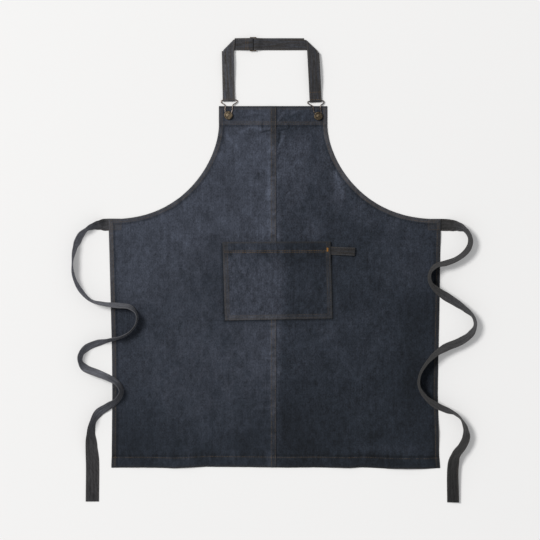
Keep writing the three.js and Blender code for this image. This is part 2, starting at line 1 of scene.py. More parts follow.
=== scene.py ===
# %% [markdown]
# # A denim bib apron, laid flat on a pale floor
#
# The apron is cut from two denim panels that overlap in a sewn seam down the middle. A patch pocket,
# a small tab, a neck band on wire hooks and two waist ties are sewn or hooked on. It lies on its back
# and is seen from straight above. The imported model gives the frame: every piece made here stands in
# its place, in metres.

# %% Load the frame
import math

import bpy
import numpy as np
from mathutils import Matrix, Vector
from mathutils.geometry import delaunay_2d_cdt


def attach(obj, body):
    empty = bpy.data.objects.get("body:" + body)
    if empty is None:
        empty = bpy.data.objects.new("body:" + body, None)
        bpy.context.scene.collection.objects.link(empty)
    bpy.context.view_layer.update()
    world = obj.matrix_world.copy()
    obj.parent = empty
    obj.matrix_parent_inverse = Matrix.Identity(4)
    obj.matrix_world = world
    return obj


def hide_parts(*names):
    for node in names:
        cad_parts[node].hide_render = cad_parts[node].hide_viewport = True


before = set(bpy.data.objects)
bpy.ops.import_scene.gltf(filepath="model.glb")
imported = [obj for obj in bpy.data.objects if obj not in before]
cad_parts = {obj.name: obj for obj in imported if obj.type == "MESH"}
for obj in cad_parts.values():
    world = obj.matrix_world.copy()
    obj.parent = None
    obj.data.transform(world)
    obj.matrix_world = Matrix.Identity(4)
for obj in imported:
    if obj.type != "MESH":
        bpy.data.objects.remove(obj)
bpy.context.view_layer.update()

MM = 0.001
bpy.ops.object.select_all(action="DESELECT")
print("frame nodes:", ", ".join(sorted(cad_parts)))

# %% [markdown]
# ## Camera
#
# The picture is a flat lay, taken from high above. A short lens would make the standing ties lean
# outwards, so the camera stands six metres up with a long lens. One picture element covers 2.45 mm of
# floor.

# %% Camera straight above
PICTURE_SIDE = 540
PIXEL = 2.45 * MM
APRON_COLUMN = 274.6
CAMERA_HEIGHT = 6.0
SENSOR = 36.0

middle = (PICTURE_SIDE / 2 - APRON_COLUMN) * PIXEL
bpy.ops.object.camera_add(location=(middle, 0, CAMERA_HEIGHT), rotation=(0, 0, 0))
camera = bpy.context.object
camera.name = "overhead_camera"
camera.data.sensor_width = SENSOR
camera.data.lens = SENSOR * CAMERA_HEIGHT / (PICTURE_SIDE * PIXEL)
camera.data.clip_end = 50
bpy.context.scene.camera = camera
print(f"lens {camera.data.lens:.1f} mm, {CAMERA_HEIGHT} m above the floor")

# %% [markdown]
# ## Material helpers
#
# Every finish here is a small graph of nodes. A few helpers keep the graphs short to write. One
# starts a material and hands back its shader, and one adds a node and fills or links its sockets by
# name. The others add what comes often: a sum, stretched noise, a mix of two colours and a bump.

# %% Helpers for node graphs
def new_material(name, roughness, metallic=0.0, specular=0.5):
    material = bpy.data.materials.new(name)
    material.use_nodes = True
    shader = material.node_tree.nodes["Principled BSDF"]
    shader.inputs["Roughness"].default_value = roughness
    shader.inputs["Metallic"].default_value = metallic
    shader.inputs["Specular IOR Level"].default_value = specular
    return material, material.node_tree, shader


def add_node(tree, kind, settings=None, **sockets):
    """Adds a node. A socket is named with _ for a space, or numbered as in0, and gets a value or a link."""
    made = tree.nodes.new("ShaderNode" + kind)
    for key, value in (settings or {}).items():
        setattr(made, key, value)
    for key, value in sockets.items():
        is_number = key.startswith("in") and key[2:].isdigit()
        socket = made.inputs[int(key[2:])] if is_number else made.inputs[key.replace("_", " ")]
        if isinstance(value, bpy.types.NodeSocket):
            tree.links.new(value, socket)
        else:
            socket.default_value = value
    return made


def math_node(tree, operation, *values):
    sockets = {f"in{i}": value for i, value in enumerate(values)}
    return add_node(tree, "Math", {"operation": operation}, **sockets).outputs[0]


def stretched_noise(tree, coords, scale, detail=2.0):
    """Noise whose cells are 1 / scale metres along each axis."""
    spread = add_node(tree, "Mapping", Vector=coords, Scale=scale).outputs[0]
    return add_node(tree, "TexNoise", Vector=spread, Scale=1.0, Detail=detail).outputs["Fac"]


def mix_colours(tree, factor, first, second):
    return add_node(tree, "Mix", {"data_type": "RGBA"}, in0=factor, in6=first, in7=second).outputs[2]


def bump(tree, height, strength, distance, below=None):
    """Raises the surface by a texture, on top of another bump if one is given."""
    sockets = {} if below is None else {"Normal": below}
    return add_node(tree, "Bump", Strength=strength, Distance=distance, Height=height, **sockets).outputs[0]


print("helpers for node graphs are ready")

# %% [markdown]
# ## Floor and light
#
# The floor is a pale, matt sheet with a painted glow of its own, though it is no lamp. The glow keeps
# the shadows on it faint, while those on the dark cloth stay deep. One broad lamp far off at the
# upper left throws them, and from so far its light is even over the whole apron. A plain white sky
# fills the rest. The Standard view keeps the colours as the materials state them.

# %% Floor, lamp and sky
FLOOR_SIDE = 14.0
FLOOR_GLOW = 0.14
LAMP_PLACE = (-12.6, 6.4, 19.3)
LAMP_SIDE = 7.0
LAMP_POWER = 4750.0
SKY_STRENGTH = 0.42

bpy.ops.mesh.primitive_plane_add(size=FLOOR_SIDE, location=(0, 0, 0))
floor = bpy.context.object
floor.name = "studio_floor"
paper, tree, shader = new_material("pale_floor", roughness=0.9, specular=0.1)
coords = add_node(tree, "TexCoord").outputs["Object"]
cloudy = stretched_noise(tree, coords, (0.8, 0.8, 0.8))
whites = mix_colours(tree, cloudy, (0.69, 0.69, 0.69, 1), (0.705, 0.705, 0.705, 1))
tree.links.new(whites, shader.inputs["Base Color"])
# Painted glow: the floor lights itself a little, so the shadows on it stay faint
shader.inputs["Emission Color"].default_value = (1, 1, 1, 1)
shader.inputs["Emission Strength"].default_value = FLOOR_GLOW
floor.data.materials.append(paper)

bpy.ops.object.light_add(type="AREA", location=LAMP_PLACE)
lamp = bpy.context.object
lamp.name = "soft_lamp"
lamp.rotation_euler = (-Vector(LAMP_PLACE)).to_track_quat("-Z", "Y").to_euler()
lamp.data.shape = "SQUARE"
lamp.data.size = LAMP_SIDE
lamp.data.energy = LAMP_POWER
lamp.data.color = (1.0, 0.985, 0.965)

sky = bpy.data.worlds.new("studio_sky")
sky.use_nodes = True
sky.node_tree.nodes["Background"].inputs["Color"].default_value = (0.985, 0.99, 1.0, 1)
sky.node_tree.nodes["Background"].inputs["Strength"].default_value = SKY_STRENGTH
bpy.context.scene.world = sky
bpy.context.scene.view_settings.view_transform = "Standard"
print("floor, lamp and sky are in place")

# %% [markdown]
# ## Denim
#
# Denim is a twill: dark warp threads run up the cloth and step over pale weft threads, which draws
# fine slanting lines. Uneven yarn leaves long vertical streaks, washing leaves a leathery grain and
# mottle, wear fades broad clouds, and every folded edge rubs to a brownish grey. Each of these is a
# noise texture stretched to its own cell size, in cells to the metre, and tables say how much each
# one counts on each cloth. One more noise draws fine dark lines where it crosses its middle, like the
# crackle of old creases. How pale a place is (tone) and how rubbed it is (wear) are kept as numbers
# on the mesh, because they follow the hems. Tone is the fade of the dye together with painted light
# and shade: shade in hollows, beside the turned edges, the pocket and the buttons, and lit and shaded
# stretches of the ties. Straps read their own UV map, so the warp runs along them wherever they turn.

# %% Denim
TWILL_PITCH = 0.0011
TWILL_SLANT = math.radians(-58)
DENIM_CELLS = {
    "yarn": (1500, 130, 1),
    "slub": (240, 17, 1),
    "grain": (300, 230, 1),
    "crack": (150, 105, 1),
    "mottle": (95, 70, 1),
    "cloud": (19, 14, 1),
}
BODY_CONTRAST = {"yarn": 0.5, "slub": 0.5, "grain": 1.3, "mottle": 0.9, "cloud": 0.7}
DARK_CONTRAST = {"yarn": 0.65, "slub": 0.7, "grain": 1.75, "mottle": 1.25, "cloud": 0.75}
STRAP_CONTRAST = {"yarn": 0.8, "slub": 2.0, "grain": 0.8, "mottle": 0.6, "cloud": 0.8}
TWILL_CONTRAST = 0.22
CRACK_WIDTH = 0.045
CRACK_DEPTH = 0.3
BASE_LEVEL = 1.08


def attribute(tree, name):
    return add_node(tree, "Attribute", {"attribute_name": name}).outputs["Fac"]


def scaled(tree, colour, factor):
    return add_node(tree, "VectorMath", {"operation": "SCALE"}, Vector=colour, Scale=factor).outputs[0]


def denim(name, deep, pale, rubbed, contrast, hue=("tone", 0.3, 0.72), along_strip=False):
    """Cloth that turns from its deep to its pale colour as the named number goes between two limits."""
    material, tree, shader = new_material(name, roughness=0.92, specular=0.14)
    shader.inputs["Sheen Weight"].default_value = 0.06
    shader.inputs["Sheen Roughness"].default_value = 0.6
    coords = add_node(tree, "TexCoord").outputs["UV" if along_strip else "Object"]
    noise = {key: stretched_noise(tree, coords, cells, 4.0) for key, cells in DENIM_CELLS.items()}
    slanted = add_node(tree, "Mapping", Vector=coords, Rotation=(0, 0, TWILL_SLANT)).outputs[0]
    wave = {"Scale": 2 * math.pi / (20 * TWILL_PITCH), "Distortion": 1.2, "Detail": 1.0}
    twill = add_node(tree, "TexWave", Vector=slanted, **wave).outputs["Fac"]

    level = math_node(tree, "MULTIPLY_ADD", twill, TWILL_CONTRAST, BASE_LEVEL - TWILL_CONTRAST / 2)
    for key, weight in contrast.items():
        around_zero = math_node(tree, "SUBTRACT", noise[key], 0.5)
        level = math_node(tree, "MULTIPLY_ADD", around_zero, weight, level)
    from_crack = math_node(tree, "ABSOLUTE", math_node(tree, "SUBTRACT", noise["crack"], 0.5))
    darkening = {"From_Max": CRACK_WIDTH, "To_Min": 1 - CRACK_DEPTH}
    lines = add_node(tree, "MapRange", Value=from_crack, **darkening).outputs[0]
    level = math_node(tree, "MULTIPLY", level, lines)
    tone = attribute(tree, "tone")
    level = math_node(tree, "MULTIPLY", level, tone)
    hue_from = {"tone": tone, "slub": noise["slub"]}[hue[0]]
    blend = add_node(tree, "MapRange", Value=hue_from, From_Min=hue[1], From_Max=hue[2]).outputs[0]
    dyed = scaled(tree, mix_colours(tree, blend, deep, pale), level)

    scuff = stretched_noise(tree, coords, (420, 260, 1), 3.0)
    scuffed = math_node(tree, "MULTIPLY_ADD", scuff, 2.2, -0.5)
    bare = math_node(tree, "MULTIPLY", attribute(tree, "wear"), scuffed)
    share = add_node(tree, "Clamp", Value=bare).outputs[0]
    worn = scaled(tree, rubbed, tone)
    tree.links.new(mix_colours(tree, share, dyed, worn), shader.inputs["Base Color"])

    creased = bump(tree, noise["mottle"], 0.6, 0.005)
    creased = bump(tree, noise["grain"], 0.6, 0.0022, creased)
    weave = math_node(tree, "MULTIPLY_ADD", noise["yarn"], 0.7, twill)
    tree.links.new(bump(tree, weave, 0.5, 0.00025, creased), shader.inputs["Normal"])
    return material


print("denim weaves from", ", ".join(DENIM_CELLS))

# %% [markdown]
# ## Thread
#
# The sewing thread is twisted cotton that has faded unevenly with the cloth. A slow noise chooses
# between its dark and its light colour, and a very fine one stands for the twist.

# %% Thread
def thread(name, dark, light):
    material, tree, shader = new_material(name, roughness=0.7, specular=0.25)
    coords = add_node(tree, "TexCoord").outputs["Object"]
    faded = stretched_noise(tree, coords, (110, 110, 110), 3.0)
    twist = stretched_noise(tree, coords, (2600, 2600, 2600), 1.0)
    patchy = math_node(tree, "MULTIPLY_ADD", faded, 2.6, -1.05)
    blend = math_node(tree, "MULTIPLY_ADD", twist, 0.5, patchy)
    share = add_node(tree, "Clamp", Value=blend).outputs[0]
    tree.links.new(mix_colours(tree, share, dark, light), shader.inputs["Base Color"])
    tree.links.new(bump(tree, twist, 0.4, 0.0001), shader.inputs["Normal"])
    return material


strap_thread = thread("strap_thread", (0.060, 0.055, 0.050, 1), (0.120, 0.100, 0.085, 1))
brown_thread = thread("brown_thread", (0.030, 0.029, 0.029, 1), (0.094, 0.070, 0.048, 1))
copper_thread = thread("copper_thread", (0.034, 0.030, 0.027, 1), (0.150, 0.098, 0.048, 1))
gold_thread = thread("gold_thread", (0.065, 0.048, 0.030, 1), (0.215, 0.125, 0.042, 1))
amber_thread = thread("amber_thread", (0.150, 0.070, 0.014, 1), (0.280, 0.130, 0.026, 1))
print("five threads, from brown to bright amber")

# %% [markdown]
# ## Five denims
#
# The body and the pocket are one slate blue, which turns to indigo where the tone is low: where the
# dye has faded least, and where painted shade darkens it. The right panel and the pocket show the
# grain more strongly. The neck band and the tab mix blue with brown along the yarn. The ties are
# greyer, and they turn bluer where their painted light makes them paler.

# %% Cloth colours
INDIGO = (0.0405, 0.0530, 0.0760, 1)
SLATE = (0.0466, 0.0542, 0.0742, 1)
RUBBED = (0.0780, 0.0725, 0.0690)
STRAP_BLUE = (0.0460, 0.0495, 0.0600, 1)
STRAP_BROWN = (0.0560, 0.0515, 0.0490, 1)
STRAP_RUBBED = (0.0950, 0.0900, 0.0860)
TIE_GREY = (0.0520, 0.0515, 0.0530, 1)
TIE_BLUE = (0.0480, 0.0498, 0.0580, 1)
TIE_RUBBED = (0.0560, 0.0555, 0.0580)

denim_left = denim("denim_left", INDIGO, SLATE, RUBBED, BODY_CONTRAST)
denim_right = denim("denim_right", INDIGO, SLATE, RUBBED, DARK_CONTRAST)
denim_pocket = denim("denim_pocket", INDIGO, SLATE, RUBBED, DARK_CONTRAST)
strap_colours = (STRAP_BROWN, STRAP_BLUE, STRAP_RUBBED)
denim_strap = denim("denim_strap", *strap_colours, STRAP_CONTRAST, ("slub", 0.36, 0.62), along_strip=True)
# The ties' hue follows their painted light and shade: bluer where painted lit, greyer in painted shade
tie_colours = (TIE_GREY, TIE_BLUE, TIE_RUBBED)
denim_tie = denim("denim_tie", *tie_colours, STRAP_CONTRAST, ("tone", 0.6, 1.4), along_strip=True)
print("five denims")

# %% [markdown]
# ## The cut of the body
#
# Sizes are in millimetres, x across and y up the apron from hem to neck. The skirt's sides are almost
# straight, the armhole is one fair curve from the waist corner to the bib, and the hem ripples by a
# few millimetres.

# %% Body outline
PLY = 1.0
GAP = 0.3
HEM_Y = -483.4
WAIST_Y = 124.2
BIB_SIDE_Y = 353.0
BIB_TOP_Y = 401.0
BIB_HALF = {"left": 136.0, "right": 128.5}
ARMHOLE_DROP_POWER = 1.7
ARMHOLE_RUN_POWER = 2.3
SKIRT_SIDES = {
    "y": [-483.4, -455, -400, -300, -200, -50, 124.2],
    "left": [399.5, 398.6, 398, 397.2, 398, 401.8, 406.3],
    "right": [405, 402.6, 402, 399.2, 401, 404.2, 406.7],
}
HEM_RIPPLE = {
    "x": [-400, -325, -244, -170, -60, 35, 94, 182, 215, 283, 368, 405],
    "drop": [0.5, -0.3, 1.7, -2, -1.2, 0.2, -0.7, 1.2, -0.6, 2.8, 3.2, 1.4],
}
SIDE_POINTS = {"skirt": 200, "armhole": 600, "bib": 20}
SIGN = {"left": -1, "right": 1}
SEAM_EDGE = {"left": 4.0, "right": -8.0}


def smooth(value, low, high):
    share = np.clip((np.asarray(value, float) - low) / (high - low), 0, 1)
    return share * share * (3 - 2 * share)


def hill(distance, reach):
    """A bell that is 1 in the middle."""
    return np.exp(-((distance / reach) ** 2))


def half_width(side, y):
    y = np.asarray(y, float)
    skirt = np.interp(y, SKIRT_SIDES["y"], SKIRT_SIDES[side])
    drop = np.clip((BIB_SIDE_Y - y) / (BIB_SIDE_Y - WAIST_Y), 0, 1)
    run = 1 - (1 - drop**ARMHOLE_DROP_POWER) ** (1 / ARMHOLE_RUN_POWER)
    armhole = BIB_HALF[side] + (SKIRT_SIDES[side][-1] - BIB_HALF[side]) * run
    return np.where(y <= WAIST_Y, skirt, armhole)


def hem_y(x):
    return HEM_Y - np.interp(x, HEM_RIPPLE["x"], HEM_RIPPLE["drop"])


def step_lengths(path):
    return np.linalg.norm(np.diff(path, axis=0), axis=1)


def distances(path):
    """How far along a path each of its points lies."""
    return np.concatenate([[0], np.cumsum(step_lengths(path))])


def resample(points, spacing):
    """The same path with points at even steps, as near to the spacing as fits."""
    points = np.asarray(points, float)
    run = distances(points)
    wanted = np.linspace(0, run[-1], max(round(run[-1] / spacing), 1) + 1)
    return np.stack([np.interp(wanted, run, column) for column in points.T], axis=1)


def side_stretches(side):
    """Skirt side, armhole and bib side, from the hem up."""
    corner = SIGN[side] * half_width(side, HEM_Y)
    skirt_y = np.linspace(hem_y(corner), WAIST_Y, SIDE_POINTS["skirt"])
    share = 1 - np.linspace(0, 1, SIDE_POINTS["armhole"]) ** 3
    armhole_y = BIB_SIDE_Y - (BIB_SIDE_Y - WAIST_Y) * share
    bib_y = np.linspace(BIB_SIDE_Y, BIB_TOP_Y, SIDE_POINTS["bib"])
    heights = (skirt_y, armhole_y, bib_y)
    stretches = [np.stack([SIGN[side] * half_width(side, y), y], axis=1) for y in heights]
    stretches[1][0] = stretches[0][-1]
    return stretches


for side in SIGN:
    lengths = [step_lengths(path).sum() for path in side_stretches(side)]
    print(side, "skirt, armhole and bib sides:", [round(length) for length in lengths], "mm")

# %% [markdown]
# ## How the cloth lies
#
# A cloth that has been folded and washed never lies quite flat. Broad swells lift it by about a
# millimetre, washing leaves small crinkles, the hem stands up in a few shallow dents, sewn lines draw
# the cloth into short puckers, and layers behind the bib press through as sharp creases. Ridges are
# paler and hollows darker, partly because a ridge is rubbed and a hollow keeps its dye, and partly as
# painted light and shade, so the creases show strongly. A cloth simulation would find such shapes by
# chance. Here each is a named height, so it stays where the ties, hooks and pocket leave room for it.

# %% Heights of the lying cloth
TACK_LIFT = 1.1
TACK_LIFT_Y = (320, 351)
TIE_LIFT = 2.1
TIE_LIFT_X = (300, 362)
TIE_LIFT_Y = (40, 85)
SWELL = 1.5
SWELL_CALM = {"x": (300, 350), "share_x": 0.75, "y": (330, 365), "share_y": 0.9}
DENTS = {
    "x": [325, 180, -215, -330, 404],
    "y": [-490, -490, -490, -490, -400],
    "height": [5.5, 3, 3.2, 2.2, 3.2],
    "reach_x": [75, 60, 65, 50, 60],
    "reach_y": [120, 90, 100, 80, 45],
}
CRINKLE = 0.85
CRINKLE_CALM = {"x": (305, 350), "share_x": 0.7, "y": (335, 360), "share_y": 0.8}
# Each crease: from x, from y, to x, to y, height and width
CREASES = [
    (-30, 361, -30, 350, -1.0, 1.8), (-31, 338, -11, 342, -1.2, 2.0), (8, 341, 33, 347, -1.0, 2.0),
    (-35, 350, -34, 342, 1.2, 2.5), (27, 357, 28, 347, 1.3, 2.2), (35, 360, 36, 349, -1.0, 2.0),
    (9, 366, 22, 385, 1.8, 2.6), (35, 373, 52, 381, -0.8, 2.0), (40, 382, 57, 391, 1.0, 3.0),
    (12, 336, 8, 302, -1.5, 3.0), (9, 299, 18, 318, 1.4, 2.8), (18, 318, 22, 327, 1.2, 3.0),
    (7, 274, 14, 289, -0.9, 2.2), (-80, 338, -60, 349, 0.9, 3.0), (-60, 349, -45, 350, 1.0, 3.0),
    (-45, 350, -36, 343, 0.9, 2.6), (-48, 225, -38, 235, -0.7, 3.0), (-60, 207, -31, 208, 0.6, 2.2),
    (-27, 242, -27, 237, -0.8, 3.0), (-100, 372, -25, 379, -0.5, 2.4), (-60, 386, -15, 381, 0.5, 2.6),
    (150, 235, 168, 180, 1.0, 6.0), (-118, 330, -92, 300, 0.8, 5.0),
]
BEDS = {
    "left": [-131, 125, -128, 90], "right": [146, 204, -96, 124],
    "low": [-128, 32, 364, 364], "high": [74, 64, 406, 406],
}
BED_MARGIN = 4
NOISE_CELLS = 97
NOISE_SHIFT = (1000.37, 1000.61)


def cloth_noise(x, y, cell_x, cell_y, seed):
    """Smooth hills and hollows between -1 and 1, one random height at each corner of a cell."""
    heights = np.random.default_rng(seed).uniform(-1, 1, (NOISE_CELLS, NOISE_CELLS))
    across = np.asarray(x, float) / cell_x + NOISE_SHIFT[0]
    up = np.asarray(y, float) / cell_y + NOISE_SHIFT[1]
    column = np.floor(across).astype(int)
    row = np.floor(up).astype(int)
    share_x = smooth(across - column, 0, 1)
    share_y = smooth(up - row, 0, 1)

    def corner(i, j):
        return heights[(column + i) % NOISE_CELLS, (row + j) % NOISE_CELLS]

    low = corner(0, 0) * (1 - share_x) + corner(1, 0) * share_x
    high = corner(0, 1) * (1 - share_x) + corner(1, 1) * share_x
    return low * (1 - share_y) + high * share_y


print(len(CREASES), "creases and", len(DENTS["x"]), "dents")

# %% [markdown]
# ### Swells, wrinkles and creases
#
# The heights are simple functions that add up. Noise gives what has no fixed place, such as swells and
# crinkles, and the tables give what has one. Swells and crinkles calm down near the ties and hooks,
# and every wrinkle or crease ends where another piece lies on the cloth.

# %% Functions of height
def lift(x, y):
    """How far the cloth stands up over the buttons' plates, over the ties' ends and at the hem's dents."""
    height = TACK_LIFT * smooth(y, *TACK_LIFT_Y)
    height = height + TIE_LIFT * smooth(np.abs(x), *TIE_LIFT_X) * smooth(y, *TIE_LIFT_Y)
    for i in range(len(DENTS["x"])):
        across = (x - DENTS["x"][i]) / DENTS["reach_x"][i]
        up = (y - DENTS["y"][i]) / DENTS["reach_y"][i]
        apart = np.clip(np.hypot(across, up), 0, 1)
        height = height + DENTS["height"][i] * np.cos(apart * math.pi / 2) ** 2
    return height


def calm(x, y, still):
    """1 on the free cloth, less near the ties and hooks, where other pieces lie close."""
    share = 1 - still["share_x"] * smooth(np.abs(x), *still["x"])
    return share * (1 - still["share_y"] * smooth(y, *still["y"]))


def swell(x, y):
    """Broad soft hills."""
    hills = 0.6 * cloth_noise(x, y, 105, 140, 3) + 0.4 * cloth_noise(x, y, 44, 70, 8)
    return SWELL * calm(x, y, SWELL_CALM) * (0.5 + 0.5 * hills)


def loose(x, y):
    """1 where the cloth may wrinkle, 0 where the pocket, the tab or a hook lies on it."""
    share = np.ones_like(x)
    for left, right, low, high in zip(*BEDS.values()):
        within = smooth(x, left - BED_MARGIN, left) * (1 - smooth(x, right, right + BED_MARGIN))
        beside = smooth(y, low - BED_MARGIN, low) * (1 - smooth(y, high, high + BED_MARGIN))
        share = share * (1 - within * beside)
    return share


def crinkle(x, y):
    """Small creases left by washing."""
    ridged = 1 - 2 * np.abs(cloth_noise(x, y, 15, 24, 51))
    hills = 0.5 * cloth_noise(x, y, 6.5, 9, 52) + 0.5 * cloth_noise(x, y, 20, 26, 53)
    return CRINKLE * calm(x, y, CRINKLE_CALM) * (0.35 * ridged + 0.65 * hills)


def crease(x, y):
    """Sharp ridges (plus) and grooves (minus), each along one short line."""
    height = np.zeros_like(x)
    for from_x, from_y, to_x, to_y, rise_by, width in CREASES:
        way = np.array([to_x - from_x, to_y - from_y])
        share = np.clip(((x - from_x) * way[0] + (y - from_y) * way[1]) / way.dot(way), 0, 1)
        gap = np.hypot(x - from_x - share * way[0], y - from_y - share * way[1])
        height = height + rise_by * hill(gap, width)
    return height


def pucker(distance, along, reach, seed):
    """Short ridges that run out from a sewn line on both sides."""
    ridges = cloth_noise(along, distance, 6.5, 22, seed)
    ridges = ridges + 0.6 * cloth_noise(along, distance, 15, 40, seed + 1)
    return ridges * np.exp(-np.abs(distance) / reach)


sample_x, sample_y = np.meshgrid(np.linspace(-390, 390, 80), np.linspace(-470, 110, 60))
print(f"swells between {swell(sample_x, sample_y).min():.2f} and {swell(sample_x, sample_y).max():.2f} mm")

# %% [markdown]
# ## Relief of the two panels
#
# The side edges, the hem and the bib's top are turned to the back and sewn down, so the front rises
# softly over the extra layers and dips into a small groove along each row of stitches. The left panel
# laps over the right one in the middle. The whole relief is one function of x and y: the cloth uses
# it for its points, and later the stitches use it to lie exactly on the cloth.

# %% Edges, bands and rows
SIDE_BAND = 10.3
ARMHOLE_BAND = 9.5
SIDE_BAND_THICKNESS = 2.1
HEM_DEPTH = 27.0
HEM_THICKNESS = 2.4
TOP_BAND_DEPTH = 46.0
TOP_BAND_THICKNESS = 2.3
LAP_THICKNESS = 1.6
LAP_START = (-12.5, -9.5)
OVER_HEM_Y = (-454, -446)
OVER_TOP_BAND_Y = (346, 351)
STITCH_INSET = 2.2
TOP_ROWS = (6.5, 38.8, 43.8)
SEAM_ROWS = (-7.4, 1.6)
GROOVE = 0.32
GROOVE_WIDTH = 1.2
BAND_STEP = (-0.6, 1.6)
EDGE_ROLL = 0.45
EDGE_ROLL_REACH = 1.5
THINNEST = 0.5
BLOCK = 2000


def nearest(points, path):
    """Distance from each point to a path, and how far along the path and at what height that place is."""
    run = distances(path)
    found = [np.zeros(len(points)) for _ in range(3)]
    for start in range(0, len(points), BLOCK):
        block = points[start:start + BLOCK]
        gaps = np.hypot(block[:, None, 0] - path[None, :, 0], block[:, None, 1] - path[None, :, 1])
        index = gaps.argmin(axis=1)
        found[0][start:start + BLOCK] = gaps[np.arange(len(block)), index]
        found[1][start:start + BLOCK] = run[index]
        found[2][start:start + BLOCK] = path[index, 1]
    return found


SIDE_PATH = {side: resample(np.concatenate(side_stretches(side)), 0.8) for side in SIGN}


def rise(distance, depth, thickness):
    """Extra height over a turned edge of this depth, with a soft inner step."""
    return (thickness - PLY) * (1 - smooth(distance, depth + BAND_STEP[0], depth + BAND_STEP[1]))


def groove(distance):
    return -GROOVE * hill(distance, GROOVE_WIDTH)


def edge_roll(edge):
    """How far the top sinks at a rounded edge."""
    return -EDGE_ROLL * (1 - smooth(edge, 0, EDGE_ROLL_REACH))


def panel_places(side, x, y):
    """Distances from a panel's edges, and from each sewn row with the way along it."""
    edge, along, edge_y = nearest(np.stack([x, y], axis=1), SIDE_PATH[side])
    band = np.where(edge_y < WAIST_Y - 0.5, SIDE_BAND, ARMHOLE_BAND)
    place = {"edge": edge, "band": band, "hem": y - hem_y(x), "top": BIB_TOP_Y - y}
    place["seam"] = np.abs(x - SEAM_EDGE[side])
    place["rows"] = [(edge - band + STITCH_INSET, along), (place["hem"] - HEM_DEPTH + STITCH_INSET, x)]
    place["rows"] += [(place["top"] - depth, x) for depth in TOP_ROWS]
    place["lap"] = np.zeros_like(x)
    if side == "left":
        place["rows"] += [(x - spot, y) for spot in SEAM_ROWS]
        place["lap"] = smooth(x, *LAP_START)
    return place


print("side paths of", [len(line) for line in SIDE_PATH.values()], "points")

# %% [markdown]
# ### Puckers and folds
#
# Thread and cloth shrink by different amounts in the wash, so a sewn row draws up into short ridges,
# most of all at the hem. Each row has its own reach and strength. The right panel also shares the
# puckers of the seam beside it.

# %% Puckers and folds
PUCKER = 0.42
# One column for each row: side edge, hem, three of the top band, two of the seam
ROW_PUCKERS = {"reach": [7, 12, 6, 6, 6, 11, 8], "strength": [1.0, 3.0, 1.0, 1.2, 1.0, 2.0, 2.0]}
SEAM_PUCKER = {"reach": 12, "strength": 1.8, "seed": 40}
ROW_SEED = 20
CLEAR_OF_LAP = (5, 9)


def panel_folds(side, x, y, rows):
    """Sharp folds, and the smaller wrinkles and puckers."""
    free = loose(x, y)
    if side == "right":
        free = free * smooth(x, *CLEAR_OF_LAP)
    wrinkle = free * crinkle(x, y)
    for i, ((row, run), reach, strength) in enumerate(zip(rows, *ROW_PUCKERS.values())):
        wrinkle = wrinkle + PUCKER * strength * free * pucker(row, run, reach, ROW_SEED + 2 * i)
    if side == "right":
        ridges = pucker(x - SEAM_EDGE["left"], y, SEAM_PUCKER["reach"], SEAM_PUCKER["seed"])
        wrinkle = wrinkle + PUCKER * SEAM_PUCKER["strength"] * free * ridges
    return free * crease(x, y), wrinkle


print("pucker of", PUCKER, "mm on", len(ROW_PUCKERS["reach"]), "sewn rows")

# %% [markdown]
# ### Wear, fade and painted shade
#
# Two numbers go with each place of the cloth. Wear says how far its surface is rubbed to a bare grey:
# at turned edges, along the rows and where the ties are sewn on. Fade says how much paler or darker it
# is. Ridges are paler and hollows darker, partly from rubbing and partly as painted light and shade.
# A painted shade darkens the hollow beside each turned edge and the strip just inside the bib's top
# edge, and each side band has a share of its own. Along the seam most of the cloth is washed paler,
# and the lap on the bib a little darker. A table gives that for places up the seam.

# %% Wear, fade and painted shade
RUB_REACH = {"edge": 3.2, "hem": 3.5, "top": 3.0}
ROW_WEAR = 0.5
ROW_WEAR_AT = -0.6
ROW_WEAR_REACH = 1.7
TIE_BOX = {"near": 376.0, "far": 402.0, "low": 98.5, "high": 120.5}
TIE_BOX_WEAR = 0.55
LAP_WEAR = (0.25, 0.4)
LAP_WEAR_Y = (290, 340)
ROPING_AND_SHADE = 0.4
CREASE_WEAR_AND_SHADE = 0.6
FADE_LIMITS = (0.4, 1.8)
STEP_SHADE = 0.4
STEP_SHADE_AT = 2.4
STEP_SHADE_REACH = 2.2
SEAM_FADE = {
    "y": [-440, -130, 60, 125, 220, 401],
    "lap": [0.25, 0.3, 0.1, 0.0, -0.2, -0.2],
    "ridge": [0.05, 0.0, 0.1, 0.28, 0.18, 0.1],
    "beside": [0.8, 0.8, 0.7, 0.5, 0.15, 0.0],
}
RIDGE = {"x": -13, "reach": 4.5}
BESIDE = {"x": 5, "reach": 9}
# The skirt's side first, then the armhole
EDGE_WEAR = {"left": (0.8, 0.45), "right": (0.6, 0.75)}
EDGE_FADE = {"left": (0.2, -0.06), "right": (-0.1, 0.3)}
SKIRT_FADE_Y = (-330, -60)


def panel_wear(side, x, y, place):
    nearest_edge = np.min([place[key] / reach for key, reach in RUB_REACH.items()], axis=0)
    wear = np.clip(np.exp(-nearest_edge**2), 0, 1)
    for row, _ in place["rows"]:
        wear = np.maximum(wear, ROW_WEAR * hill(row - ROW_WEAR_AT, ROW_WEAR_REACH))
    band_wear = np.where(place["band"] == SIDE_BAND, *EDGE_WEAR[side])
    wear = np.maximum(wear, np.where(place["edge"] < place["band"], band_wear, 0))
    wear = np.maximum(wear, place["lap"] * (LAP_WEAR[0] + LAP_WEAR[1] * smooth(y, *LAP_WEAR_Y)))
    in_box = (np.abs(x) > TIE_BOX["near"]) & (np.abs(x) < TIE_BOX["far"])
    in_box &= (y > TIE_BOX["low"]) & (y < TIE_BOX["high"])
    return np.maximum(wear, np.where(in_box, TIE_BOX_WEAR, 0))


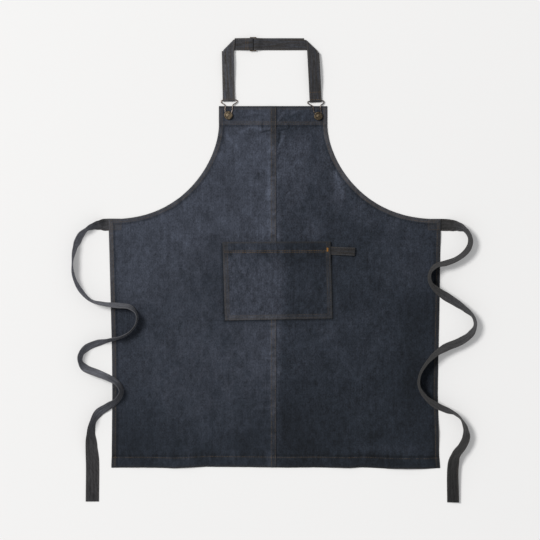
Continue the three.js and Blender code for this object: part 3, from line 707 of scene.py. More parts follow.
def panel_fade_and_shade(side, x, y, place, fold, wrinkle):
    steps = [place["edge"] - place["band"], place["hem"] - HEM_DEPTH]
    steps += [place["top"] - TOP_BAND_DEPTH, place["top"]]
    # Painted shade: a dark strip in the hollow beside each turned edge and just inside the bib's top edge
    dark = np.max([hill(step - STEP_SHADE_AT, STEP_SHADE_REACH) for step in steps], axis=0)
    # Ridges paler and hollows darker: partly rubbed wear, partly painted light and shade
    fade = np.clip(1 + ROPING_AND_SHADE * wrinkle + CREASE_WEAR_AND_SHADE * fold, *FADE_LIMITS) * (1 - STEP_SHADE * dark)
    skirt_fade, armhole_fade = EDGE_FADE[side]
    skirt_fade = skirt_fade * smooth(y, *SKIRT_FADE_Y)
    band_fade = np.where(place["band"] == SIDE_BAND, skirt_fade, armhole_fade)
    fade = fade * np.where(place["edge"] < place["band"], 1 + band_fade, 1)
    washed = {key: np.interp(y, SEAM_FADE["y"], SEAM_FADE[key]) for key in ("lap", "ridge", "beside")}
    if side == "right":
        return fade * (1 + washed["beside"] * hill(x - BESIDE["x"], BESIDE["reach"]))
    fade = fade * (1 + place["lap"] * washed["lap"])
    return fade * (1 + washed["ridge"] * hill(x - RIDGE["x"], RIDGE["reach"]))


print("seam fade at", len(SEAM_FADE["y"]), "places")

# %% [markdown]
# ### The whole relief
#
# The underside follows the floor, or the right panel where the left one laps over it. The top adds
# the cloth's own layers, its grooves and its folds.

# %% Panel relief
def panel_relief(side, x, y):
    """Bottom and top of the cloth in mm, its wear, and its fade with painted light and shade."""
    x = np.asarray(x, float)
    y = np.asarray(y, float)
    place = panel_places(side, x, y)
    lap = place["lap"]
    layers = rise(place["edge"], place["band"], SIDE_BAND_THICKNESS)
    layers = np.maximum(layers, rise(place["hem"], HEM_DEPTH, HEM_THICKNESS))
    layers = np.maximum(layers, rise(place["top"], TOP_BAND_DEPTH, TOP_BAND_THICKNESS))
    over_hem = (HEM_THICKNESS - PLY) * (1 - smooth(y, *OVER_HEM_Y))
    over_top_band = (TOP_BAND_THICKNESS - PLY) * smooth(y, *OVER_TOP_BAND_Y)
    bottom = lift(x, y) + swell(x, y) + lap * (PLY + GAP + over_hem + over_top_band)
    lap_layers = LAP_THICKNESS - PLY
    layers = np.where(lap > 0.5, lap_layers, layers * (1 - lap) + lap * lap_layers)

    fold, wrinkle = panel_folds(side, x, y, place["rows"])
    bottom = np.maximum(bottom + np.minimum(fold, 0), 0)
    relief = sum(groove(row) for row, _ in place["rows"]) + wrinkle + np.maximum(fold, 0)
    roll = edge_roll(np.min([place[key] for key in ("edge", "hem", "top", "seam")], axis=0))
    top = np.maximum(bottom + PLY + layers + relief + roll, bottom + THINNEST)
    return bottom, top, panel_wear(side, x, y, place), panel_fade_and_shade(side, x, y, place, fold, wrinkle)


sample = panel_relief("left", [-200], [100])
print("bottom, top, wear and fade at one spot:", [round(float(part[0]), 2) for part in sample])

# %% [markdown]
# ## Cutting a sheet
#
# A grid of squares can't follow a curved armhole and a straight hem at once. Here a sheet is cut as
# cloth is: the outline is drawn, points are set along it and at a few even distances inside it, and
# an even field of points fills the middle.

# %% Points of a cut
EDGE_STEPS = [0.8, 2.0, 3.8, 5.6, 7.4, 9.2, 11.2, 13.4, 15.8]
OUTLINE_STEP = 0.6
EDGE_SLACK = 0.96
GUIDE_CLEAR = 1.1
FIELD_CLEAR = 0.62


def inside(points, loop):
    """Which points lie inside a closed outline."""
    result = np.zeros(len(points), bool)
    for (ax, ay), (bx, by) in zip(loop, np.roll(loop, -1, axis=0)):
        if ay == by:
            continue
        crosses = (points[:, 1] < ay) != (points[:, 1] < by)
        result ^= crosses & (points[:, 0] < ax + (points[:, 1] - ay) * (bx - ax) / (by - ay))
    return result


def unit_rows(vectors):
    """Each row scaled to a length of 1."""
    return vectors / np.linalg.norm(vectors, axis=1)[:, None]


def inward(loop):
    """Unit normals that point into an outline drawn anticlockwise."""
    way = unit_rows(np.roll(loop, -1, axis=0) - np.roll(loop, 1, axis=0))
    return np.stack([-way[:, 1], way[:, 0]], axis=1)


def thin_out(points, placed, least):
    """Only those points that keep a least distance from the ones already placed."""
    gaps, _, _ = nearest(points, np.concatenate(placed))
    return points[gaps > least]


def point_field(loop, spacing):
    """Even rows of points inside an outline, every other row moved by half a step."""
    low, high = loop.min(axis=0), loop.max(axis=0)
    columns = np.arange(low[0], high[0], spacing)
    field = []
    for i, y in enumerate(np.arange(low[1], high[1], spacing * math.sqrt(3) / 2)):
        field.append(np.stack([columns + spacing / 2 * (i % 2), np.full(len(columns), y)], axis=1))
    field = np.concatenate(field)
    return field[inside(field, loop)]


def sheet_points(loop, spacing, guides=(), holes=()):
    """Lists of points: the outline, the holes, the lines inside the edge, the guides and the field."""
    dense = resample(np.concatenate([loop, loop[:1]]), OUTLINE_STEP)
    placed = [loop, *holes]
    for step in EDGE_STEPS:
        line = loop + step * inward(loop)
        gaps, _, _ = nearest(line, dense)
        placed.append(line[(gaps > EDGE_SLACK * step) & inside(line, loop)])
    for guide in guides:
        placed.append(thin_out(guide[inside(guide, loop)], placed, GUIDE_CLEAR))
    placed.append(thin_out(point_field(loop, spacing), placed, FIELD_CLEAR * spacing))
    return placed


trial_corners = np.array([[0, 0], [60, 0], [60, 60], [0, 60], [0, 0]])
trial = resample(trial_corners, 3.0)[:-1]
print("a square of 60 mm gets", sum(len(part) for part in sheet_points(trial, 3.0)), "points")

# %% [markdown]
# ### Triangles
#
# A constrained Delaunay triangulation joins the points without crossing the outline or the holes.
# Triangles that fill a hole are taken out again, and all are turned to face up.

# %% Triangles of a cut
MERGE_WITHIN = 1e-5


def doubled_areas(flat, faces):
    """Twice the area of each triangle, with a minus where it faces down."""
    first = flat[faces[:, 1]] - flat[faces[:, 0]]
    second = flat[faces[:, 2]] - flat[faces[:, 0]]
    return first[:, 0] * second[:, 1] - first[:, 1] * second[:, 0]


def cut_sheet(loop, spacing, guides=(), holes=()):
    """Points and triangles of a flat cut. Guides are lines that get points, holes are closed outlines."""
    placed = sheet_points(loop, spacing, guides, holes)
    points = [Vector(spot) for spot in np.concatenate(placed)]
    edges = []
    start = 0
    for closed in placed[:1 + len(holes)]:
        edges += [(start + i, start + (i + 1) % len(closed)) for i in range(len(closed))]
        start += len(closed)
    flat, _, faces, _, _, _ = delaunay_2d_cdt(points, edges, [], 1, MERGE_WITHIN)
    flat = np.array([tuple(spot) for spot in flat])
    faces = np.array([face for face in faces if len(face) == 3])
    for hole in holes:
        centre = hole.mean(axis=0)
        radius = np.linalg.norm(hole[0] - centre)
        faces = faces[np.linalg.norm(flat[faces].mean(axis=1) - centre, axis=1) > radius]
    face_down = doubled_areas(flat, faces) < 0
    faces[face_down] = faces[face_down][:, ::-1]
    used = np.unique(faces)
    renumber = np.full(len(flat), -1)
    renumber[used] = np.arange(len(used))
    return flat[used], renumber[faces]


print("and", len(cut_sheet(trial, 3.0)[1]), "triangles")

# %% [markdown]
# ### Cloth from a cut
#
# The flat cut gets its top and bottom heights and a wall around every edge. The wall bulges a little
# in the middle, so the edge looks round. Numbers such as tone and wear go on the mesh as attributes,
# where the materials find them.

# %% Cloth from a cut
WALL_BULGE = 0.3


def make_object(name, points, faces, material, **attributes):
    mesh = bpy.data.meshes.new(name)
    mesh.from_pydata((np.asarray(points) * MM).tolist(), [], [list(face) for face in faces])
    for key, values in attributes.items():
        layer = mesh.attributes.new(key, "FLOAT", "POINT")
        layer.data.foreach_set("value", np.asarray(values, np.float32))
    mesh.materials.append(material)
    mesh.shade_smooth()
    mesh.validate()
    piece = bpy.data.objects.new(name, mesh)
    bpy.context.scene.collection.objects.link(piece)
    return piece


def sheet_object(name, flat, faces, bottom, top, material, **attributes):
    """A closed cloth: the cut at its top and bottom heights, with a rounded wall along each open edge."""
    count = len(flat)
    directed = np.concatenate([faces[:, [0, 1]], faces[:, [1, 2]], faces[:, [2, 0]]])
    known = {tuple(edge) for edge in directed}
    border = np.array([edge for edge in known if edge[::-1] not in known])
    out = np.zeros((count, 2))
    way = flat[border[:, 1]] - flat[border[:, 0]]
    normal = unit_rows(np.stack([way[:, 1], -way[:, 0]], axis=1))
    np.add.at(out, border[:, 0], normal)
    np.add.at(out, border[:, 1], normal)
    rim = np.unique(border)
    out = unit_rows(out[rim])
    bulge = WALL_BULGE * (top - bottom)[rim][:, None]
    wall = np.column_stack([flat[rim] + out * bulge, (top + bottom)[rim] / 2])
    points = np.concatenate([np.column_stack([flat, top]), np.column_stack([flat, bottom]), wall])
    place = np.full(count, -1)
    place[rim] = 2 * count + np.arange(len(rim))
    shell = [*faces.tolist(), *(faces[:, ::-1] + count).tolist()]
    for a, b in border.tolist():
        shell.append([b, a, place[a], place[b]])
        shell.append([place[b], place[a], a + count, b + count])
    spread = {key: np.concatenate([value, value, value[rim]]) for key, value in attributes.items()}
    return make_object(name, points, shell, material, **spread)


print("walls bulge by", WALL_BULGE, "of the cloth's thickness")

# %% [markdown]
# ## Where the pocket lies
#
# The panels come first, but they already show where the pocket is: beside its two sides and its foot
# a painted shadow darkens the cloth. So the pocket's four corners are set here, with two helpers that
# turn a place into shares across and down the patch, and back.

# %% Pocket place
POCKET_CORNERS = {
    "top_left": np.array([-127, 68]),
    "top_right": np.array([136.7, 69.3]),
    "foot_left": np.array([-121, -123.2]),
    "foot_right": np.array([141.6, -118.3]),
}
POCKET_WIDE = 263.0
POCKET_TALL = 190.0
POCKET_SHADE_REACH = 5.0
POCKET_SHADE_UNDER = (-3, 0)
POCKET_SHADE_BELOW_MOUTH = (-2, 6)


def pocket_shares(x, y):
    """How far across and down the patch a place is, from 0 to 1."""
    corner = POCKET_CORNERS
    height = corner["top_left"][1] - corner["foot_left"][1]
    down = (corner["top_left"][1] - y) / height
    for _ in range(4):
        left = corner["top_left"][:, None] + (corner["foot_left"] - corner["top_left"])[:, None] * down
        right = corner["top_right"][:, None] + (corner["foot_right"] - corner["top_right"])[:, None] * down
        across = (x - left[0]) / (right[0] - left[0])
        level = left[1] + (right[1] - left[1]) * across
        down = down + (level - y) / height
    return across, down


def pocket_place(across, down):
    """The spot on the patch at these shares."""
    corner = POCKET_CORNERS
    across = np.asarray(across, float)[..., None]
    down = np.asarray(down, float)[..., None]
    top = corner["top_left"] + (corner["top_right"] - corner["top_left"]) * across
    foot = corner["foot_left"] + (corner["foot_right"] - corner["foot_left"]) * across
    return top + (foot - top) * down


def pocket_edge_shadow(x, y):
    """Painted shadow: 1 at the pocket's sides and foot, 0 a few millimetres outside them."""
    across, down = pocket_shares(x, y)
    outside = np.max([-across * POCKET_WIDE, (across - 1) * POCKET_WIDE, (down - 1) * POCKET_TALL], axis=0)
    below_mouth = smooth(down * POCKET_TALL, *POCKET_SHADE_BELOW_MOUTH)
    return below_mouth * smooth(outside, *POCKET_SHADE_UNDER) * hill(np.maximum(outside, 0), POCKET_SHADE_REACH)


def pocket_border(offset, spacing):
    """A line round the pocket's sides and foot, this far outside them."""
    across = offset / POCKET_WIDE
    down = offset / POCKET_TALL
    shares = ((-across, 0), (-across, 1 + down), (1 + across, 1 + down), (1 + across, 0))
    return resample(np.array([pocket_place(*share) for share in shares]), spacing)


print("pocket", POCKET_WIDE, "by", POCKET_TALL, "mm")

# %% [markdown]
# ## The two panels
#
# The left panel is paler than the right one, and both darken towards the hem. The fade table gives
# that for places up the apron. The patch table adds broad paler and darker clouds, most of them like
# those of a real wash, and some painted shade: the shadows of the ties on the skirt's sides, and dark
# spots beside the buttons and in the hooks' throats. For each it gives where it is, how far it
# reaches and how much paler or darker it is.

# %% Tone of the body
FADE = {
    "y": [-480, -440, -390, -310, -200, -80, 40, 140, 260, 401],
    "left": [0.36, 0.36, 0.47, 0.54, 0.63, 0.66, 0.76, 0.84, 0.87, 0.79],
    "right": [0.25, 0.25, 0.31, 0.36, 0.42, 0.44, 0.48, 0.55, 0.66, 0.60],
}
# Each patch: x, y, reach across, reach up and change
PATCHES = [
    (-55, 320, 90, 60, 0.12), (36, 258, 45, 85, 0.34), (-265, 95, 140, 65, 0.16),
    (-30, 145, 32, 150, 0.10), (95, 90, 24, 32, 0.35), (152, 215, 22, 55, 0.20),
    (-45, -205, 85, 70, 0.22), (275, -440, 130, 18, 0.65), (-330, -390, 95, 95, -0.22),
    # Painted tie shadows on the skirt's sides: the patches at (350, -115), (-366, -125) and (335, -265)
    (70, -370, 80, 120, -0.22), (350, -115, 75, 85, -0.40), (-366, -125, 65, 70, -0.22),
    (90, 190, 60, 85, -0.10), (335, -265, 75, 95, -0.40), (-150, 0, 50, 110, -0.20),
    (-30, -400, 60, 70, -0.26), (40, 348, 65, 26, -0.22), (-230, -290, 130, 80, 0.14),
    (180, 60, 90, 100, -0.22), (-340, -35, 60, 75, 0.34), (322, -5, 50, 45, 0.24),
    (180, -60, 70, 70, -0.14), (-3, 384, 9, 22, -0.3), (-17, 235, 9, 65, 0.2),
    (-58, 326, 14, 14, -0.15), (-2, 330, 8, 28, -0.2), (95, 300, 14, 45, -0.22),
    # Painted shade beside each button and in each hook's throat
    (-104, 371, 7, 9, -0.5), (115, 370, 7, 9, -0.5), (-113, 393, 6, 8, -0.45), (107, 391, 6, 8, -0.4),
    (55, 378, 50, 16, -0.13), (-185, -50, 55, 55, -0.1), (-20, -192, 14, 40, 0.25),
    (-120, -160, 40, 60, -0.15), (130, -150, 40, 60, 0.2),
]
PATCH_SHARPNESS = 1.4


def body_tone(side, x, y):
    tone = np.interp(y, FADE["y"], FADE[side])
    for at_x, at_y, reach_x, reach_y, change in PATCHES:
        apart = np.hypot((x - at_x) / reach_x, (y - at_y) / reach_y)
        tone = tone * (1 + change * np.exp(-(apart**2) * PATCH_SHARPNESS))
    return tone


print(len(PATCHES), "patches")

# %% [markdown]
# ### Cutting the panels
#
# Each panel's outline is the seam, the hem, the side and the top. Guide lines put extra points where
# the cloth steps up over a band, over the lap and beside the pocket, so those steps stay crisp. A
# small hole lets a button's post through.

# %% Left and right panel
BUTTONS = {"left": (-113.2, 378.5), "right": (107.0, 376.6)}
POST_HOLE = 2.8
POST_HOLE_POINTS = 16
PANEL_SPACING = 3.3
PANEL_EDGE_STEP = 2.5
HEM_POINTS = 300
GUIDE_STEP = 2.6
HEM_GUIDES = (23, 24.8, 26.6, 28.6)
TOP_GUIDES = (42, 43.8, 45.6, 47.6)
LAP_GUIDES = (-13.4, -11.6, -9.4, -7.4, -5.4)
POCKET_GUIDES = (1.2, 3.4)
POCKET_STEP = 2.2
POCKET_EDGE_SHADE = 0.65


def outline(side, spacing):
    """The panel's edge, anticlockwise as seen from above."""
    seam = SEAM_EDGE[side]
    corner = SIGN[side] * half_width(side, HEM_Y)
    hem_x = np.linspace(seam, corner, HEM_POINTS)
    stretches = [np.stack([hem_x, hem_y(hem_x)], axis=1), *side_stretches(side)]
    stretches.append(np.array([[SIGN[side] * BIB_HALF[side], BIB_TOP_Y], [seam, BIB_TOP_Y]]))
    stretches.append(np.array([[seam, BIB_TOP_Y], [seam, hem_y(seam)]]))
    loop = np.concatenate([resample(stretch, spacing)[:-1] for stretch in stretches])
    return loop if SIGN[side] > 0 else loop[::-1]


def level_line(side, y, spacing):
    ends = [SEAM_EDGE[side], SIGN[side] * half_width(side, HEM_Y)]
    x = np.arange(min(ends), max(ends), spacing)
    return np.stack([x, np.full(len(x), y)], axis=1)


def upright_line(x, spacing):
    y = np.arange(HEM_Y, BIB_TOP_Y, spacing)
    return np.stack([np.full(len(y), x), y], axis=1)


def ring(centre, radius, count):
    angle = np.arange(count) * 2 * math.pi / count
    return np.stack([centre[0] + radius * np.cos(angle), centre[1] + radius * np.sin(angle)], axis=1)


def make_panel(side, material):
    guides = [level_line(side, HEM_Y + depth, GUIDE_STEP) for depth in HEM_GUIDES]
    guides += [level_line(side, BIB_TOP_Y - depth, GUIDE_STEP) for depth in TOP_GUIDES]
    if side == "left":
        guides += [upright_line(x, GUIDE_STEP) for x in LAP_GUIDES]
    guides += [pocket_border(offset, POCKET_STEP) for offset in POCKET_GUIDES]
    hole = ring(BUTTONS[side], POST_HOLE, POST_HOLE_POINTS)
    flat, faces = cut_sheet(outline(side, PANEL_EDGE_STEP), PANEL_SPACING, guides, [hole])
    bottom, top, wear, fade = panel_relief(side, *flat.T)
    tone = body_tone(side, *flat.T) * fade
    # Painted shadow along the pocket's sides and foot
    tone = tone * (1 - POCKET_EDGE_SHADE * pocket_edge_shadow(*flat.T))
    piece = sheet_object(f"{side}_panel", flat, faces, bottom, top, material, tone=tone, wear=wear)
    area = 0.5 * np.abs(doubled_areas(flat, faces)).sum()
    print(piece.name, len(piece.data.polygons), "faces,", round(area / 1e6, 4), "square metres")
    return piece, area * MM * MM


left_panel, left_area = make_panel("left", denim_left)
right_panel, right_area = make_panel("right", denim_right)

# %% [markdown]
# ## Patch pocket
#
# The pocket is a four-sided patch, sewn to the body along its sides and foot. Its mouth gapes a few
# millimetres, which is what makes a pocket look usable. It lies over the lapped seam and over the end
# of the tab, so its underside follows the panels' own relief with a small gap.

# %% Pocket relief
POCKET_HEM = 26.6
POCKET_TURN = 11.0
POCKET_HEM_THICKNESS = 2.2
HEM_STEP = (POCKET_HEM - 1, POCKET_HEM + 1.8)
TURN_STEP = (POCKET_TURN - 1, POCKET_TURN + 2)
POCKET_GAPE = 7.0
GAPE_POWER = 1.2
POCKET_HEM_ROWS = (21.6, 25.4)
POCKET_SIDE_ROWS = (3.4, 10.2)
LAP_RISE_X = (-16.5, -12.0)
LAP_FALL_X = (5.2, 9.5)
TAB_THICKNESS = 1.0
OVER_TAB_X = (100, 127)
OVER_TAB_Y = (10, 30)
OVER_TAB = 2 * TAB_THICKNESS + 2 * GAP + 0.2


def pocket_places(x, y):
    """Distances from the patch's edges, and from each sewn row with the way along it."""
    across, down = pocket_shares(x, y)
    place = {"left": across * POCKET_WIDE, "right": (1 - across) * POCKET_WIDE}
    place |= {"top": down * POCKET_TALL, "foot": (1 - down) * POCKET_TALL}
    place["edge"] = np.min(list(place.values()), axis=0)
    bow = np.sin(math.pi * np.clip(across, 0, 1))
    place["gape"] = POCKET_GAPE * bow * np.clip(1 - down, 0, 1) ** GAPE_POWER
    place["rows"] = [(place["top"] - depth, x) for depth in POCKET_HEM_ROWS]
    for key, run in (("left", y), ("right", y), ("foot", x)):
        place["rows"] += [(place[key] - depth, run) for depth in POCKET_SIDE_ROWS]
    return place


def pocket_bottom(x, y, gape):
    """The underside: on the panels, over the lapped seam and the tab, and raised where the mouth gapes."""
    over_lap = smooth(x, *LAP_RISE_X) * (1 - smooth(x, *LAP_FALL_X))
    bed = swell(x, y) + PLY + GAP + over_lap * (LAP_THICKNESS + GAP)
    return bed + gape + OVER_TAB * smooth(x, *OVER_TAB_X) * smooth(y, *OVER_TAB_Y)


print("pocket mouth gapes", POCKET_GAPE, "mm")

# %% [markdown]
# ### The pocket's folds and wear
#
# The patch has turned edges, grooves, puckers and rubbed places like the panels, from the same
# functions. Only its hem draws up strongly, and the band along its left side has kept more dye than
# the other two.

# %% Pocket folds and wear
POCKET_CALM = (2, 16)
HEM_PUCKER = 2.0
SIDE_PUCKER = 0.8
POCKET_PUCKER_REACH = 9
POCKET_SEED = 60
POCKET_RUB_REACH = 3.2
POCKET_ROW_REACH = 2.2
BAND_WEAR = 0.45
POCKET_FADE_LIMITS = (0.5, 1.6)
BANDS = ("left", "right", "foot")
TURN_FADE = [0.88, 1.15, 1.15]


def pocket_wrinkle(x, y, place):
    hills = 0.6 * cloth_noise(x, y, 7, 10, 54) + 0.4 * cloth_noise(x, y, 24, 30, 55)
    wrinkle = CRINKLE * smooth(place["edge"], *POCKET_CALM) * hills
    for i, (row, run) in enumerate(place["rows"]):
        strength = HEM_PUCKER if i < len(POCKET_HEM_ROWS) else SIDE_PUCKER
        ridges = pucker(row, run, POCKET_PUCKER_REACH, POCKET_SEED + 2 * i)
        wrinkle = wrinkle + strength * PUCKER * ridges
    return wrinkle


def pocket_relief(x, y):
    """Bottom and top of the patch in mm, its wear, and its fade with painted light and shade."""
    x = np.asarray(x, float)
    y = np.asarray(y, float)
    place = pocket_places(x, y)
    bottom = pocket_bottom(x, y, place["gape"])
    thick = POCKET_HEM_THICKNESS - PLY
    layers = thick * (1 - smooth(place["top"], *HEM_STEP))
    for band in BANDS:
        layers = np.maximum(layers, thick * (1 - smooth(place[band], *TURN_STEP)))
    wrinkle = pocket_wrinkle(x, y, place)
    relief = sum(groove(row) for row, _ in place["rows"]) + wrinkle
    top = bottom + PLY + layers + relief + edge_roll(place["edge"])

    wear = hill(place["edge"], POCKET_RUB_REACH)
    for row, _ in place["rows"]:
        wear = np.maximum(wear, ROW_WEAR * hill(row, POCKET_ROW_REACH))
    in_band = [place[band] < POCKET_TURN for band in BANDS]
    wear = np.maximum(wear, np.where(np.any(in_band, axis=0), BAND_WEAR, 0))
    # Ridges paler and hollows darker: partly rubbed wear, partly painted light and shade
    fade = np.clip(1 + ROPING_AND_SHADE * wrinkle, *POCKET_FADE_LIMITS) * np.select(in_band, TURN_FADE, 1)
    return bottom, np.maximum(top, bottom + THINNEST), wear, fade


print("two puckered rows at the hem, two along each of", ", ".join(BANDS))

# %% [markdown]
# ### Cutting the pocket
#
# The patch is cut like a panel, with guide lines along its hem. It is palest on its left side below the
# hem, and darkest at the upper right.

# %% Pocket
POCKET_SPACING = 2.6
POCKET_HEM_GUIDES = (19.6, 21.6, 23.5, 25.4, 27.4)
GUIDE_POINTS = 120
POCKET_TONE = 0.39
PALER = 0.38
PALER_X = (4, 40)
PALER_Y = (-175, -105)
MOUTH_SHADE = 0.6
MOUTH_SHADE_Y = (5, 44)
CORNER_SHADE = 0.22
CORNER_SHADE_XY = (0, 30)

pocket_corners = [pocket_place(*spot) for spot in ((0, 1), (1, 1), (1, 0), (0, 0), (0, 1))]
pocket_sides = [np.array(pair) for pair in zip(pocket_corners, pocket_corners[1:])]
pocket_loop = np.concatenate([resample(line, POCKET_STEP)[:-1] for line in pocket_sides])
guides = []
for depth in POCKET_HEM_GUIDES:
    shares = np.full(GUIDE_POINTS, depth / POCKET_TALL)
    guides.append(pocket_place(np.linspace(0, 1, GUIDE_POINTS), shares))
flat, faces = cut_sheet(pocket_loop, POCKET_SPACING, guides)
across, up = flat.T
bottom, top, wear, fade = pocket_relief(across, up)
paler = (1 - smooth(across, *PALER_X)) * smooth(up, *PALER_Y)
paler = paler * (1 - MOUTH_SHADE * smooth(up, *MOUTH_SHADE_Y))
darker = CORNER_SHADE * smooth(across, *CORNER_SHADE_XY) * smooth(up, *CORNER_SHADE_XY)
pocket_tone = (POCKET_TONE + PALER * paler) * (1 - darker) * fade
pocket = sheet_object("patch_pocket", flat, faces, bottom, top, denim_pocket, tone=pocket_tone, wear=wear)
print(pocket.name, len(pocket.data.polygons), "faces")

# %% [markdown]
# ## Strips of folded denim
#
# The neck band, the ties and the tab are long strips, folded and sewn along both edges. A strip is a
# list of stations: the place of its left edge, of its right edge, and the way its face looks. The
# stations follow a fair curve through a few given points.

# %% Curves and stations
STRAP_WIDTH = 29.6
STRAP_THICKNESS = 1.6
STRIP_STEP = 3.6
BAR_CUTS = 5


def catmull_rom(points, cuts):
    """A fair curve through the points (centripetal), with its directions, and so many cuts to each span."""
    points = np.asarray(points, float)
    ends = [2 * points[0] - points[1], *points, 2 * points[-1] - points[-2]]
    spots = []
    ways = []
    for k in range(len(points) - 1):
        p = ends[k:k + 4]
        spans = [max(np.linalg.norm(p[i + 1] - p[i]) ** 0.5, 1e-3) for i in range(3)]
        bend = []
        for i in (0, 1):
            before, after = spans[i], spans[i + 1]
            slope = (p[i + 1] - p[i]) / before - (p[i + 2] - p[i]) / (before + after)
            slope = slope + (p[i + 2] - p[i + 1]) / after
            bend.append(slope * spans[1])
        last = k == len(points) - 2
        for t in np.arange(cuts + last) / cuts:
            square = -3 * p[1] + 3 * p[2] - 2 * bend[0] - bend[1]
            cube = 2 * p[1] - 2 * p[2] + bend[0] + bend[1]
            spots.append(p[1] + bend[0] * t + square * t**2 + cube * t**3)
            way = bend[0] + 2 * square * t + 3 * cube * t**2
            ways.append(way / np.linalg.norm(way))
    return np.array(spots), np.array(ways)


def fill_in(stations, step):
    """Extra stations where neighbours are far apart."""
    full = [stations[0]]
    for here, after in zip(stations, stations[1:]):
        count = max(int(np.linalg.norm(after[:2] - here[:2], axis=1).max() // step), 0) + 1
        for i in range(1, count + 1):
            between = here + (after - here) * i / count
            between[2] /= np.linalg.norm(between[2])
            full.append(between)
    return np.array(full)


def run_stations(origin, way, left, profile, width, cuts=8):
    """Stations of a strip that runs in an upright plane: the profile gives distance and height."""
    spots, slopes = catmull_rom([(s, 0, z) for s, z in profile], cuts)
    centre = origin + spots[:, :1] * way
    centre[:, 2] = spots[:, 2]
    heading = slopes[:, :1] * way
    heading[:, 2] = slopes[:, 2]
    face = unit_rows(np.cross(heading, left))
    return [np.array([c + left * width / 2, c - left * width / 2, f]) for c, f in zip(centre, face)]


def half_round(s, z, radius, start, stop):
    """Part of a profile that goes round a bar."""
    turn = np.radians(start + (stop - start) * np.linspace(0, 1, BAR_CUTS))
    return [(s + radius * math.cos(angle), z + radius * math.sin(angle)) for angle in turn]


print("strip width", STRAP_WIDTH, "mm, thickness", STRAP_THICKNESS, "mm")

# %% [markdown]
# ### Sweeping the section
#
# The section of a strip is flat with round edges and a groove for each row of stitches. It is swept
# through the stations, and the ends are closed. The UV map runs along the strip in metres, so the
# weave follows every turn.

# %% Strip maker
GROOVE_AT = 0.82
GROOVE_LEVEL = 0.74
GROOVE_RUB = 0.45
GROOVE_RUB_REACH = 0.05
EDGE_RUB = (0.9, 1.0)


def strip_section(thickness):
    """Across (from -1 to 1) and height of the strip's upper face, round at the edges, with two grooves."""
    half = thickness / 2
    right = [(0.0, half), (0.42, half), (0.74, 0.98 * half), (GROOVE_AT, GROOVE_LEVEL * half)]
    right += [(0.9, 0.98 * half), (0.955, 0.92 * half), (0.988, 0.62 * half), (1.0, 0.0)]
    left = [(-across, height) for across, height in right[:0:-1]]
    return left + right


def middle_of(stations):
    """The strip's middle line."""
    return stations[:, 0:2].mean(axis=1)


def strip_object(name, stations, thickness, material, tone=1.0):
    """A closed strip through stations of (left edge, right edge, face)."""
    upper = strip_section(thickness)
    section = upper + [(across, -height) for across, height in upper[-2:0:-1]]
    middle = middle_of(stations)
    half = (stations[:, 1] - stations[:, 0]) / 2
    face = stations[:, 2]
    points = np.stack([middle + across * half + height * face for across, height in section], axis=1)
    count = len(section)
    corners = np.arange(len(stations) * count).reshape(len(stations), count)
    a, b = corners[:-1], np.roll(corners[:-1], -1, axis=1)
    c, d = np.roll(corners[1:], -1, axis=1), corners[1:]
    faces = np.stack([a, b, c, d], axis=-1).reshape(-1, 4).tolist()
    faces += [corners[0][::-1].tolist(), corners[-1].tolist()]
    across = np.array([spot for spot, _ in section])
    rubbed = GROOVE_RUB * hill(np.abs(across) - GROOVE_AT, GROOVE_RUB_REACH)
    rubbed = np.maximum(smooth(np.abs(across), *EDGE_RUB), rubbed)
    wear = np.tile(rubbed, len(stations))
    tones = np.repeat(np.broadcast_to(tone, len(stations)), count)
    piece = make_object(name, points.reshape(-1, 3), faces, material, tone=tones, wear=wear)

    steps = np.linalg.norm(np.diff(stations[:, 0:2], axis=0), axis=2)
    left_run, right_run = np.concatenate([np.zeros((1, 2)), np.cumsum(steps, axis=0)]).T
    share = (across + 1) / 2
    along = left_run[:, None] * (1 - share) + right_run[:, None] * share
    width = np.linalg.norm(half, axis=1).mean()
    chart = np.stack([np.broadcast_to(across * width, along.shape), along], axis=-1).reshape(-1, 2) * MM
    layer = piece.data.uv_layers.new(name="strip")
    index = np.zeros(len(piece.data.loops), int)
    piece.data.loops.foreach_get("vertex_index", index)
    layer.data.foreach_set("uv", chart[index].ravel().astype(np.float32))
    return piece


def face_outwards(piece):
    bpy.ops.object.select_all(action="DESELECT")
    piece.select_set(True)
    bpy.context.view_layer.objects.active = piece
    bpy.ops.object.mode_set(mode="EDIT")
    bpy.ops.mesh.select_all(action="SELECT")
    bpy.ops.mesh.normals_make_consistent(inside=False)
    bpy.ops.object.mode_set(mode="OBJECT")
    piece.select_set(False)


print("a section has", 2 * len(strip_section(STRAP_THICKNESS)) - 2, "points")

# %% [markdown]
# ## Tab beside the pocket
#
# A narrow strip is folded in two, so it makes an eye at its far end, and both tails are caught under
# the pocket's side seam. It carries a towel or a pen.

# %% Tab
TAB_START = (131, 47.6)
TAB_SLOPE = math.radians(-2.5)
TAB_LENGTH = 66.0
TAB_WIDTH = 20.0
TAB_EYE = 2.8
TAB_TONE = 0.5

